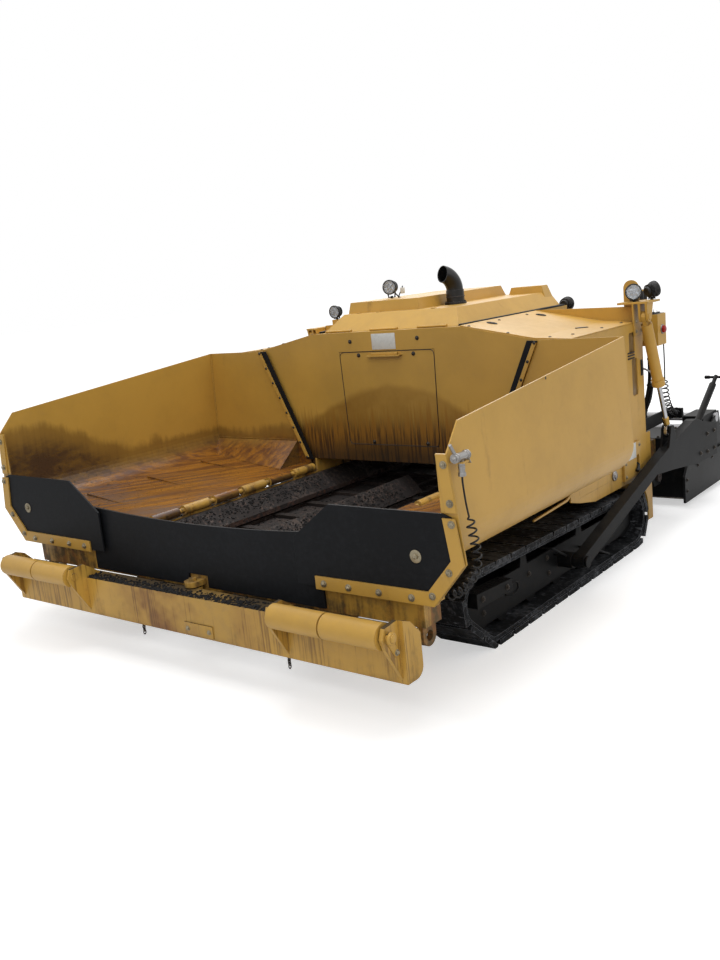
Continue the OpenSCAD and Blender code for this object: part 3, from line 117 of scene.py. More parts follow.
class Wire:
    """A value in a material, so that sums of values read as plain Python."""

    def __init__(self, graph: "Graph", socket: bpy.types.NodeSocket) -> None:
        """Keep the graph and the socket that gives the value."""
        self.graph = graph
        self.socket = socket

    def _math(self, operation: str, first: object, second: object = 0.0) -> "Wire":
        """Add one Math node.

        Args:
            operation: The node's operation.
            first: The first value.
            second: The second value.

        Returns:
            The node's value.
        """
        node = self.graph.node("ShaderNodeMath", {"operation": operation}, {0: first, 1: second})
        return Wire(self.graph, node.outputs[0])

    def __add__(self, other: object) -> "Wire":
        """Add."""
        return self._math("ADD", self, other)

    __radd__ = __add__

    def __sub__(self, other: object) -> "Wire":
        """Subtract."""
        return self._math("SUBTRACT", self, other)

    def __rsub__(self, other: object) -> "Wire":
        """Subtract from a number."""
        return self._math("SUBTRACT", other, self)

    def __mul__(self, other: object) -> "Wire":
        """Multiply."""
        return self._math("MULTIPLY", self, other)

    __rmul__ = __mul__

    def __truediv__(self, other: object) -> "Wire":
        """Divide."""
        return self._math("DIVIDE", self, other)

    def __pow__(self, other: object) -> "Wire":
        """Raise to a power."""
        return self._math("POWER", self, other)

    def size(self) -> "Wire":
        """Give the value without its sign."""
        return self._math("ABSOLUTE", self)

    def most(self, other: object) -> "Wire":
        """Give the larger of two values."""
        return self._math("MAXIMUM", self, other)

    def ramp(self, low: float, high: float) -> "Wire":
        """Go smoothly from 0 at low to 1 at high.

        Args:
            low: The value that gives 0.
            high: The value that gives 1, below low for a falling ramp.

        Returns:
            The ramped value.
        """
        if low <= high:
            ends = {"Value": self, "From Min": low, "From Max": high}
        else:
            ends = {"Value": self * -1.0, "From Min": -low, "From Max": -high}
        node = self.graph.node("ShaderNodeMapRange", {"interpolation_type": "SMOOTHSTEP"}, ends)
        return Wire(self.graph, node.outputs[0])


class Graph:
    """The node tree of one material."""

    def __init__(self, name: str) -> None:
        """Start an empty material.

        Args:
            name: The finish's name.
        """
        self.material = bpy.data.materials.new(f"{name}_finish")
        self.material.use_nodes = True
        self.tree = self.material.node_tree
        self.tree.nodes.clear()
        self._object = self.node("ShaderNodeTexCoord")
        self._parts: dict[str, list[Wire]] = {}

    def node(self, kind: str, settings: dict | None = None, values: dict | None = None) -> bpy.types.Node:
        """Add any node.

        Args:
            kind: The node's type.
            settings: Its properties, or a ramp's stops under "stops".
            values: Numbers, colours or wires for its sockets, by name or index.

        Returns:
            The new node.
        """
        made = self.tree.nodes.new(kind)
        for key, value in (settings or {}).items():
            if key == "stops":
                ramp = made.color_ramp
                while len(ramp.elements) < len(value):
                    ramp.elements.new(0.5)
                for element, (position, colour) in zip(ramp.elements, value):
                    element.position = position
                    element.color = colour
            else:
                setattr(made, key, value)
        for key, value in (values or {}).items():
            if isinstance(value, Wire):
                self.tree.links.new(value.socket, made.inputs[key])
            else:
                made.inputs[key].default_value = value
        return made

    def where(self) -> list[Wire]:
        """Give the place on the surface as three values in metres."""
        return self._split("Object")

    def facing(self) -> list[Wire]:
        """Give the surface's direction as three values."""
        return self._split("Normal")

    def _split(self, output: str) -> list[Wire]:
        """Give an output of the coordinate node as three values, made once.

        Args:
            output: The output's name.

        Returns:
            Its three parts.
        """
        if output not in self._parts:
            parts = self.node("ShaderNodeSeparateXYZ", None, {0: Wire(self, self._object.outputs[output])})
            self._parts[output] = [Wire(self, parts.outputs[i]) for i in range(3)]
        return self._parts[output]

    def noise(self, scale: float, detail: float = 3.0, rough: float = 0.55,
              stretch: Triple = (1.0, 1.0, 1.0), shift: Triple = (0.0, 0.0, 0.0), turn: float = 0.0) -> Wire:
        """Add cloudy noise on the object's own coordinates.

        Args:
            scale: How fine the clouds are, per metre.
            detail: How many finer layers.
            rough: How strong the finer layers are.
            stretch: A scale for each direction.
            shift: A move of the pattern, so that two noises differ.
            turn: A turn of the coordinates about the height before they are stretched, in radians.

        Returns:
            The noise, about 0.3 to 0.7.
        """
        start = Wire(self, self._object.outputs["Object"])
        if turn:
            spun = self.node("ShaderNodeMapping", None, {"Vector": start, "Rotation": (0.0, 0.0, turn)})
            start = Wire(self, spun.outputs[0])
        place = self.node("ShaderNodeMapping", None, {"Vector": start, "Scale": stretch, "Location": shift})
        node = self.node("ShaderNodeTexNoise", {"noise_dimensions": "3D"},
                         {"Vector": Wire(self, place.outputs[0]), "Scale": scale, "Detail": detail,
                          "Roughness": rough})
        return Wire(self, node.outputs[0])

    def cells(self, scale: float) -> Wire:
        """Add a cell pattern's distance on the object's own coordinates."""
        values = {"Vector": Wire(self, self._object.outputs["Object"]), "Scale": scale}
        return Wire(self, self.node("ShaderNodeTexVoronoi", None, values).outputs["Distance"])

    def mix(self, low: object, high: object, factor: object) -> Wire:
        """Mix two colours.

        Args:
            low: The colour at factor 0.
            high: The colour at factor 1.
            factor: The share of the second colour.

        Returns:
            The mixed colour.
        """
        node = self.node("ShaderNodeMix", {"data_type": "RGBA"}, {0: factor, 6: low, 7: high})
        return Wire(self, node.outputs[2])

    def corner_shade(self, reach: float) -> Wire:
        """Give a painted-shade value from ambient occlusion, which rises in narrow corners.

        Args:
            reach: How far the walls of a corner may lie, in metres.

        Returns:
            The value, 0 in the open and 1 in a deep corner.
        """
        node = self.node("ShaderNodeAmbientOcclusion", {"samples": 5}, {"Distance": reach})
        return 1.0 - Wire(self, node.outputs["AO"])

    def edges(self, radius: float) -> tuple[Wire, Wire]:
        """Find sharp edges.

        Args:
            radius: How far the rounding reaches, in metres.

        Returns:
            The rounded direction of the surface, and a value that rises at edges.
        """
        bevel = self.node("ShaderNodeBevel", {"samples": 4}, {"Radius": radius})
        flat = self.node("ShaderNodeNewGeometry")
        turn = self.node("ShaderNodeVectorMath", {"operation": "DOT_PRODUCT"},
                         {0: Wire(self, bevel.outputs[0]), 1: Wire(self, flat.outputs["True Normal"])})
        return Wire(self, bevel.outputs[0]), 1.0 - Wire(self, turn.outputs["Value"])

    def surface(self, settings: dict, height: Wire | None = None, depth: float = 0.001,
                normal: Wire | None = None) -> bpy.types.Material:
        """Finish the material with its shader.

        Args:
            settings: Values for the shader's sockets.
            height: A relief for the bump.
            depth: The relief's depth in metres.
            normal: A direction for the bump to start from.

        Returns:
            The finished material.
        """
        values = dict(settings)
        if height is not None:
            start = {"Height": height, "Distance": depth, "Strength": 1.0}
            if normal is not None:
                start["Normal"] = normal
            values["Normal"] = Wire(self, self.node("ShaderNodeBump", None, start).outputs[0])
        elif normal is not None:
            values["Normal"] = normal
        shader = self.node("ShaderNodeBsdfPrincipled", None, values)
        end = self.node("ShaderNodeOutputMaterial")
        self.tree.links.new(shader.outputs[0], end.inputs[0])
        return self.material


def blend(low: Wire, high: Wire, factor: Wire) -> Wire:
    """Mix two values.

    Args:
        low: The value at factor 0.
        high: The value at factor 1.
        factor: The share of the second value.

    Returns:
        The mixed value.
    """
    return low + (high - low) * factor


@dataclass(frozen=True)
class Paint:
    """Sprayed paint with dust, drips of tar, fading, worn edges and painted shade in narrow corners."""

    name: str
    colour: tuple = YELLOW
    rough: float = 0.38
    dust: float = 0.25
    tar_below: float = 0.55
    tar: float = 0.5
    chips: float = 0.35
    round_edge: float = 0.004
    coat: float = 0.12
    # The next two fields set the painted corner shade: ambient occlusion darkens narrow corners towards a
    # colour, standing for shade as well as grime.
    grime_and_shade: float = 0.55
    grime_and_shade_colour: tuple = tone(0.30, 0.20, 0.12)
    shine: float = 0.35

    def stain(self, graph: Graph, colour: Wire, rough: Wire) -> tuple[Wire, Wire]:
        """Give extra stains; plain paint has none."""
        return colour, rough

    def build(self) -> bpy.types.Material:
        """Make the material.

        Returns:
            The new material.
        """
        graph = Graph(self.name)
        _, _, height = graph.where()
        _, _, up = graph.facing()
        cloud = graph.noise(1.7, 5.0, 0.6)
        fine = graph.noise(23.0, 4.0, 0.65, shift=(3.0, 1.0, 2.0))
        drips = graph.noise(9.0, 4.0, 0.6, stretch=(1.0, 1.0, 0.12), shift=(5.0, 0.0, 0.0))
        faded = graph.mix(self.colour, [c * 0.86 for c in self.colour[:3]] + [1.0], cloud.ramp(0.35, 0.68))
        dusty = (fine * 0.6 + cloud * 0.4 + up.ramp(0.2, 0.95) * 0.12).ramp(0.46, 0.75) * self.dust
        colour = graph.mix(faded, DUST, dusty)
        low = height.ramp(self.tar_below + 0.35, self.tar_below - 0.25)
        smear = (drips + low * 0.34 + (fine - 0.5) * 0.2).ramp(0.62, 0.82) * self.tar
        colour = graph.mix(colour, graph.mix(RUST, TAR, fine.ramp(0.42, 0.56)), smear)
        normal, edge = graph.edges(self.round_edge)
        chip = (edge.ramp(0.02, 0.30) * (fine.ramp(0.40, 0.60) * 0.8 + 0.2)) * self.chips
        colour = graph.mix(colour, tone(0.30, 0.24, 0.19), chip)
        # Painted shade: ambient occlusion, broken up by noise, darkens narrow corners and gaps, standing for
        # shade as well as grime.
        grime_and_shade = (graph.corner_shade(0.05) + (fine - 0.5) * 0.5).ramp(0.45, 0.9) * self.grime_and_shade
        colour = graph.mix(colour, self.grime_and_shade_colour, grime_and_shade)
        rough = dusty * 0.8 + smear * 0.25 + cloud * 0.12 + (self.rough - 0.06)
        colour, rough = self.stain(graph, colour, rough)
        relief = graph.noise(160.0, 2.0) * 0.25 + smear * 1.2 + fine * 0.15
        settings = {"Base Color": colour, "Roughness": rough, "Coat Weight": self.coat, "Coat Roughness": 0.2,
                    "Specular IOR Level": self.shine}
        return graph.surface(settings, relief, 0.0012, normal)


@dataclass(frozen=True)
class HopperPaint(Paint):
    """Wing paint: clean outside, scoured and stained by hot asphalt inside."""

    def stain(self, graph: Graph, colour: Wire, rough: Wire) -> tuple[Wire, Wire]:
        """Stain the faces that look into the hopper.

        Args:
            graph: The material's graph.
            colour: The paint's colour.
            rough: The paint's roughness.

        Returns:
            The stained colour and roughness.
        """
        across, along, height = graph.where()
        side_x, side_y, side_z = graph.facing()
        inward = (across.ramp(-0.001, 0.001) * 2.0 - 1.0) * side_x * -1.0
        within = inward.ramp(0.15, 0.45).most(side_z.ramp(0.5, 0.8) * height.ramp(1.15, 1.05))
        back = side_y.ramp(-0.5, -0.8) * along.ramp(1.4 - MIDDLE_Y, 1.6 - MIDDLE_Y)
        front = side_y.ramp(0.5, 0.8) * along.ramp(0.2 - MIDDLE_Y, 0.05 - MIDDLE_Y)
        line = height - (across.size() - 0.708) * 0.0875
        rib = across.size().ramp(0.70, 0.72) * across.size().ramp(1.43, 1.40) * line.ramp(0.6105, 0.6115)
        rib = rib * along.ramp(0.05 - MIDDLE_Y, 0.10 - MIDDLE_Y) * side_x.size().ramp(0.5, 0.3)
        within = within.most(back).most(front).most(rib)
        wave = graph.noise(2.1, 5.0, 0.6, shift=(7.0, 2.0, 1.0))
        flow = graph.noise(26.0, 6.0, 0.66, stretch=(1.0, 0.05, 1.0), shift=(2.0, 9.0, 4.0), turn=0.45)
        drip = graph.noise(34.0, 5.0, 0.6, stretch=(1.0, 1.0, 0.05), shift=(5.0, 3.0, 2.0))
        rise = along.ramp(1.0 - MIDDLE_Y, 0.25 - MIDDLE_Y) * 0.27
        level = height + (wave - 0.5) * 0.26 - rise
        haze = (level + (drip - 0.5) * 0.08).ramp(0.90, 0.83) * within
        scoured = (level + (drip - 0.5) * 0.12).ramp(0.84, 0.70) * within
        patches = (flow * 0.4 + wave * 0.6).ramp(0.42, 0.58)
        wall = graph.mix(tone(0.47, 0.35, 0.17), tone(0.29, 0.21, 0.15), patches)
        gold = graph.mix(tone(0.58, 0.38, 0.14), tone(0.37, 0.22, 0.12), flow.ramp(0.38, 0.60))
        bottom = graph.mix(gold, tone(0.36, 0.31, 0.30), (wave * 0.6 + flow * 0.4).ramp(0.44, 0.60)
                           * along.ramp(1.35 - MIDDLE_Y, 0.6 - MIDDLE_Y) * 0.8)
        plate = graph.mix(wall, bottom, side_z.ramp(0.35, 0.75).most(rib))
        lumps = graph.noise(36.0, 4.0, 0.6, shift=(1.0, 4.0, 8.0)).ramp(0.60, 0.68)
        crust = lumps * level.ramp(0.74, 0.60) * within
        colour = graph.mix(colour, tone(0.46, 0.33, 0.14), haze * 0.70)
        colour = graph.mix(graph.mix(colour, plate, scoured * 0.94), TAR, crust * 0.6)
        return colour, blend(rough, 0.17 + flow * 0.22, scoured)


@dataclass(frozen=True)
class HoodPaint(Paint):
    """Body paint with brown drips of asphalt on the hopper's rear wall."""

    def stain(self, graph: Graph, colour: Wire, rough: Wire) -> tuple[Wire, Wire]:
        """Stain the wall that closes the hopper.

        Args:
            graph: The material's graph.
            colour: The paint's colour.
            rough: The paint's roughness.

        Returns:
            The stained colour and roughness.
        """
        across, along, height = graph.where()
        _, side_y, _ = graph.facing()
        wall = side_y.ramp(-0.6, -0.9) * along.ramp(1.79 - MIDDLE_Y, 1.765 - MIDDLE_Y)
        drips = graph.noise(46.0, 5.0, 0.62, stretch=(1.0, 1.0, 0.035), shift=(4.0, 4.0, 1.0))
        cloud = graph.noise(2.6, 5.0, 0.6, shift=(9.0, 2.0, 1.0))
        arch = height + across * across * 0.50 + (cloud - 0.5) * 0.16
        soft = arch.ramp(1.155, 1.10) * (cloud.ramp(0.30, 0.62) * 0.5 + 0.5)
        colour = graph.mix(colour, tone(0.50, 0.34, 0.09), soft * wall * 0.75)
        level = height + (drips - 0.5) * 0.42 + (cloud - 0.5) * 0.22
        mark = level.ramp(1.00, 0.82) * wall
        runs = graph.mix(tone(0.56, 0.38, 0.12), tone(0.22, 0.13, 0.07), drips.ramp(0.46, 0.55))
        colour = graph.mix(colour, runs, mark * 0.92)
        return graph.mix(colour, TAR, level.ramp(0.84, 0.66) * wall * 0.75), rough


@dataclass(frozen=True)
class BeamPaint(Paint):
    """Beam paint with brown runs down its face and caked tar on its ledge."""

    def stain(self, graph: Graph, colour: Wire, rough: Wire) -> tuple[Wire, Wire]:
        """Stain the ledge and the face under it.

        Args:
            graph: The material's graph.
            colour: The paint's colour.
            rough: The paint's roughness.

        Returns:
            The stained colour and roughness.
        """
        across, _, height = graph.where()
        _, _, up = graph.facing()
        runs = graph.noise(52.0, 4.0, 0.6, stretch=(1.0, 1.0, 0.03), shift=(6.0, 1.0, 3.0))
        patch = graph.noise(2.4, 4.0, 0.6, shift=(3.0, 7.0, 1.0))
        side = up.size().ramp(0.5, 0.2)
        middle = across.size().ramp(0.75, 0.10) * patch.ramp(0.36, 0.60)
        colour = graph.mix(colour, tone(0.44, 0.25, 0.09), middle * side * 0.85)
        lip = (height + (patch - 0.5) * 0.12).ramp(0.21, 0.15) * side
        colour = graph.mix(colour, tone(0.36, 0.22, 0.11), lip * 0.6)
        run = (runs * 0.8 + patch * 0.55).ramp(0.69, 0.82) * side
        colour = graph.mix(colour, tone(0.36, 0.22, 0.10), run * 0.6)
        ledge = (up.ramp(0.6, 0.95) + (patch - 0.5) * 1.2).ramp(0.55, 0.95) * up.ramp(0.3, 0.9)
        return graph.mix(colour, TAR, ledge * 0.9), blend(rough, 0.8 + patch * 0.1, ledge)


@dataclass(frozen=True)
class SlidePaint(Paint):
    """Black paint of a screed extension, with its guide tubes bright and polished."""

    guides: tuple = ((4095, 450), (4205, 520))
    reach: float = 0.034

    def stain(self, graph: Graph, colour: Wire, rough: Wire) -> tuple[Wire, Wire]:
        """Brighten the faces round each guide tube's axis.

        Args:
            graph: The material's graph.
            colour: The paint's colour.
            rough: The paint's roughness.

        Returns:
            The changed colour and roughness.
        """
        _, along, height = graph.where()
        bright = None
        for y, z in self.guides:
            axis = at(0, y, z)
            back = along - axis.y
            rise = height - axis.z
            here = ((back * back + rise * rise) ** 0.5).ramp(self.reach + 0.0005, self.reach)
            bright = here if bright is None else bright.most(here)
        return graph.mix(colour, tone(0.70, 0.70, 0.71), bright), blend(rough, rough * 0.3, bright)


@dataclass(frozen=True)
class Plate:
    """Bare steel: rust, scouring, caked asphalt and grain."""

    name: str
    bare: tuple = tone(0.42, 0.36, 0.32)
    rust: tuple = tone(0.50, 0.30, 0.15)
    dirt: tuple = TAR
    rusted: float = 0.6
    caked: float = 0.4
    metal: float = 0.5
    rough: float = 0.42
    grain: Triple = (1.0, 0.15, 1.0)
    round_edge: float = 0.003
    cake_from: float = 0.50

    def build(self) -> bpy.types.Material:
        """Make the material.

        Returns:
            The new material.
        """
        graph = Graph(self.name)
        _, _, up = graph.facing()
        wave = graph.noise(4.0, 5.0, 0.62)
        fine = graph.noise(42.0, 5.0, 0.68, shift=(2.0, 5.0, 1.0))
        brush = graph.noise(60.0, 3.0, 0.5, stretch=self.grain)
        rust = (wave * 0.7 + fine * 0.3).ramp(0.40, 0.62) * self.rusted
        colour = graph.mix(self.bare, self.rust, rust)
        colour = graph.mix(colour, [c * 0.5 for c in self.rust[:3]] + [1.0], fine.ramp(0.50, 0.70) * 0.5)
        lumps = fine * 0.55 + wave * 0.45 + up.ramp(0.1, 0.9) * 0.06
        cake = lumps.ramp(self.cake_from, self.cake_from + 0.10) * self.caked
        colour = graph.mix(colour, self.dirt, cake)
        normal, edge = graph.edges(self.round_edge)
        worn = edge.ramp(0.03, 0.35) * 0.5
        colour = graph.mix(colour, tone(0.60, 0.56, 0.52), worn)
        metal = (1.0 - cake) * (1.0 - rust * 0.7) * self.metal
        rough = brush * 0.2 + rust * 0.25 + cake * 0.3 + (self.rough - 0.1)
        return graph.surface({"Base Color": colour, "Roughness": rough, "Metallic": metal},
                             brush * 0.3 + cake * 1.6 + fine * 0.5, 0.0016, normal)


@dataclass(frozen=True)
class Rubber:
    """Rubber with grey dust, scuffs and a slight grain."""

    name: str
    colour: tuple = tone(0.11, 0.11, 0.115)
    dust: float = 0.5
    rough: float = 0.62
    dust_colour: tuple = tone(0.38, 0.37, 0.36)
    scuff: float = 0.3
    grain: float = 220.0
    shine: float = 0.12

    def build(self) -> bpy.types.Material:
        """Make the material.

        Returns:
            The new material.
        """
        graph = Graph(self.name)
        cloud = graph.noise(3.5, 5.0, 0.65)
        fine = graph.noise(38.0, 4.0, 0.7, shift=(1.0, 6.0, 3.0))
        scratch = graph.noise(45.0, 3.0, 0.6, stretch=(0.3, 1.0, 2.0), shift=(8.0, 1.0, 1.0))
        dusty = (cloud * 0.5 + fine * 0.5).ramp(0.44, 0.64) * self.dust
        normal, edge = graph.edges(0.003)
        scuffed = (edge.ramp(0.01, 0.22) + scratch.ramp(0.60, 0.70) * 0.5) * self.scuff
        colour = graph.mix(graph.mix(self.colour, self.dust_colour, dusty * 0.7), self.dust_colour, scuffed)
        rough = dusty * 0.3 + cloud * 0.15 + (self.rough - 0.1)
        relief = graph.noise(self.grain, 2.0) * 0.4 + fine * 0.6
        settings = {"Base Color": colour, "Roughness": rough, "Specular IOR Level": self.shine}
        return graph.surface(settings, relief, 0.0009, normal)


@dataclass(frozen=True)
class Metal:
    """Bright or cast metal with fine grain and a little dirt."""

    name: str
    colour: tuple = tone(0.72, 0.71, 0.69)
    rough: float = 0.25
    grime_and_shade: float = 0.25
    metal: float = 1.0

    def build(self) -> bpy.types.Material:
        """Make the material.

        Returns:
            The new material.
        """
        graph = Graph(self.name)
        cloud = graph.noise(14.0, 5.0, 0.65)
        fine = graph.noise(150.0, 3.0, 0.6, shift=(2.0, 1.0, 5.0))
        dirt = (cloud * 0.6 + fine * 0.4).ramp(0.46, 0.62) * self.grime_and_shade
        colour = graph.mix(self.colour, tone(0.16, 0.13, 0.10), dirt)
        normal, _ = graph.edges(0.0015)
        return graph.surface({"Base Color": colour, "Metallic": (1.0 - dirt) * self.metal,
                              "Roughness": fine * 0.12 + dirt * 0.4 + (self.rough - 0.06)},
                             fine * 0.5 + cloud * 0.5, 0.0004, normal)


@dataclass(frozen=True)
class Plastic:
    """Moulded plastic with a fine pebble and dust in it."""

    name: str
    colour: tuple = tone(0.10, 0.10, 0.105)
    rough: float = 0.45
    dust: float = 0.25
    pebble: float = 260.0

    def build(self) -> bpy.types.Material:
        """Make the material.

        Returns:
            The new material.
        """
        graph = Graph(self.name)
        fine = graph.noise(60.0, 4.0, 0.65)
        dusty = fine.ramp(0.46, 0.66) * self.dust
        normal, edge = graph.edges(0.002)
        colour = graph.mix(self.colour, DUST, dusty + edge.ramp(0.05, 0.5) * 0.12)
        return graph.surface({"Base Color": colour, "Roughness": dusty * 0.4 + (self.rough - 0.02),
                              "Specular IOR Level": 0.3},
                             graph.cells(self.pebble), 0.0002, normal)


@dataclass(frozen=True)
class Lens:
    """Lamp glass or a reflector behind it."""

    name: str
    colour: tuple = tone(0.93, 0.94, 0.95)
    clear: float = 0.85
    rough: float = 0.05

    def build(self) -> bpy.types.Material:
        """Make the material.

        Returns:
            The new material.
        """
        graph = Graph(self.name)
        rings = graph.noise(120.0, 1.0)
        colour = graph.mix(self.colour, DUST, graph.noise(30.0).ramp(0.5, 0.75) * 0.2)
        settings = {"Base Color": colour, "Transmission Weight": self.clear,
                    "Roughness": rings * 0.05 + self.rough, "IOR": 1.45}
        return graph.surface(settings, rings, 0.0004)


class Kit(Enum):
    """The finishes of the machine."""

    YELLOW_PAINT = Paint("yellow_paint", dust=0.07, tar=0.3, tar_below=0.35)
    ROLLER_PAINT = Paint("roller_paint", dust=0.10, tar=0.0, chips=0.6, grime_and_shade=0.35)
    # A darker copy of the yellow paint, used as painted shade in the side walls' recesses.
    RECESS_SHADE_PAINT = Paint("recess_shade_paint", colour=tone(0.46, 0.35, 0.17), dust=0.10, tar=0.0)
    HOPPER_PAINT = HopperPaint("hopper_paint", dust=0.07, tar=0.25, tar_below=0.35)
    HOOD_PAINT = HoodPaint("hood_paint", dust=0.07, tar=0.2, tar_below=0.4)
    BEAM_PAINT = BeamPaint("beam_paint", tar_below=0.1, tar=0.35, dust=0.2, chips=0.5)
    FRAME_PAINT = Paint("frame_paint", tar_below=0.5, tar=0.8, dust=0.3, chips=0.5)
    BLACK_PAINT = Paint("black_paint", colour=BLACK, rough=0.46, dust=0.06, tar=0.0, chips=0.15, coat=0.0,
                        grime_and_shade_colour=tone(0.08, 0.075, 0.07), shine=0.12)
    SLIDE_PAINT = SlidePaint("slide_paint", colour=BLACK, rough=0.46, dust=0.06, tar=0.0, chips=0.15,
                             coat=0.0, grime_and_shade_colour=tone(0.08, 0.075, 0.07), shine=0.2)
    EXHAUST_PAINT = Paint("exhaust_paint", colour=tone(0.06, 0.06, 0.062), rough=0.36, dust=0.07, tar=0.0,
                          chips=0.2, coat=0.1, grime_and_shade_colour=TAR)
    WORN_PLATE = Plate("worn_plate", bare=tone(0.29, 0.25, 0.23), rust=tone(0.40, 0.22, 0.11), rusted=0.8,
                       caked=0.95, metal=0.35, cake_from=0.46)
    CHAIN_STEEL = Plate("chain_steel", bare=tone(0.20, 0.18, 0.17), rust=tone(0.24, 0.15, 0.10), caked=0.8)
    IRON = Plate("iron", bare=tone(0.16, 0.15, 0.15), rust=tone(0.26, 0.16, 0.10), rusted=0.45, caked=0.2,
                 metal=0.3, rough=0.6)
    TRACK_RUBBER = Rubber("track_rubber", colour=tone(0.075, 0.077, 0.083), dust=0.45, scuff=1.0, rough=0.66,
                          dust_colour=tone(0.54, 0.55, 0.57))
    SHEET_RUBBER = Rubber("sheet_rubber", colour=tone(0.075, 0.08, 0.09), dust=0.12, rough=0.52, scuff=0.10,
                          dust_colour=tone(0.26, 0.27, 0.29))
    HOSE_RUBBER = Rubber("hose_rubber", colour=tone(0.055, 0.055, 0.06), dust=0.14, rough=0.42, scuff=0.08)
    LAMP_PLASTIC = Plastic("lamp_plastic", colour=tone(0.06, 0.06, 0.065), dust=0.12)
    SEAT_VINYL = Plastic("seat_vinyl", colour=tone(0.075, 0.075, 0.08), rough=0.5, dust=0.12, pebble=420.0)
    SCREED_STEEL = Plate("screed_steel", bare=tone(0.58, 0.57, 0.55), rusted=0.25, caked=0.35, metal=0.8,
                         rough=0.32)
    ROD_CHROME = Metal("rod_chrome", colour=tone(0.78, 0.78, 0.79), rough=0.16, grime_and_shade=0.15)
    CAST_GREY = Metal("cast_grey", colour=tone(0.62, 0.61, 0.60), rough=0.36, grime_and_shade=0.3)
    BRASS = Metal("brass", colour=tone(0.72, 0.58, 0.30), rough=0.3, grime_and_shade=0.3)
    CORD_PLASTIC = Plastic("cord_plastic", colour=tone(0.045, 0.045, 0.05), rough=0.35, dust=0.08)
    ZINC = Metal("zinc_bolt", colour=tone(0.62, 0.58, 0.49), rough=0.36, grime_and_shade=0.4)
    DARK_SCREW = Metal("dark_screw", colour=tone(0.28, 0.26, 0.24), rough=0.42, grime_and_shade=0.5)
    LENS_GLASS = Lens("lens_glass")
    REFLECTOR = Metal("reflector", colour=tone(0.70, 0.71, 0.73), rough=0.16, grime_and_shade=0.25)
    WHITE_LABEL = Plastic("white_label", colour=tone(0.84, 0.84, 0.82), rough=0.35, dust=0.12)
    RED_PLASTIC = Plastic("red_plastic", colour=tone(0.62, 0.07, 0.05), rough=0.3, dust=0.08)
    ASPHALT = Rubber("asphalt", colour=tone(0.065, 0.065, 0.07), dust=0.15, rough=0.75, scuff=0.2, grain=90.0)

    @property
    def material(self) -> bpy.types.Material:
        """Give the finish's material, made on first use."""
        return bpy.data.materials.get(f"{self.value.name}_finish") or self.value.build()


WORN_BY: dict[Kit, Sequence[str]] = {
    Kit.FRAME_PAINT: ("chassis",),
    Kit.WORN_PLATE: ("conveyor_bed",),
    Kit.CHAIN_STEEL: ("conveyor_chains", "auger_left", "auger_right"),
    Kit.HOOD_PAINT: ("body_shell", "bolted_covers"),
    Kit.IRON: ("engine_block",),
    Kit.TRACK_RUBBER: ("track_left", "track_right"),
    Kit.BLACK_PAINT: ("track_wheels", "track_frames", "operator_deck", "seat_frames", "auger_hangers",
                      "tow_arms", "screed_frame", "depth_cranks"),
    Kit.YELLOW_PAINT: ("fenders", "lamp_towers", "consoles", "wing_strips_left", "wing_strips_right",
                       "engine_lid", "lift_barrel_left", "lift_barrel_right"),
    Kit.LAMP_PLASTIC: ("tower_lamps", "lid_lamp"),
    Kit.SEAT_VINYL: ("seat_cushions",),
    Kit.SHEET_RUBBER: ("centre_flap", "wing_rubber_left", "wing_rubber_right"),
    Kit.HOSE_RUBBER: ("hose_bundles",),
    Kit.HOPPER_PAINT: ("wing_left", "wing_right"),
    Kit.BEAM_PAINT: ("push_beam",),
    Kit.ROLLER_PAINT: ("push_roller_left", "push_roller_right"),
    Kit.EXHAUST_PAINT: ("exhaust_stack",),
    Kit.SCREED_STEEL: ("screed_plate",),
    Kit.SLIDE_PAINT: ("extension_left", "extension_right"),
    Kit.ROD_CHROME: ("lift_rod_left", "lift_rod_right"),
    Kit.CAST_GREY: ("spray_gun",),
    Kit.CORD_PLASTIC: ("gun_coil", "console_lead", "console_coil"),
}


def show(name: str, data: bpy.types.ID) -> bpy.types.Object:
    """Put data into the scene as an object.

    Args:
        name: The object's name.
        data: Its mesh, curve, camera or lamp.

    Returns:
        The new object.
    """
    made = bpy.data.objects.new(name, data)
    bpy.context.scene.collection.objects.link(made)
    return made


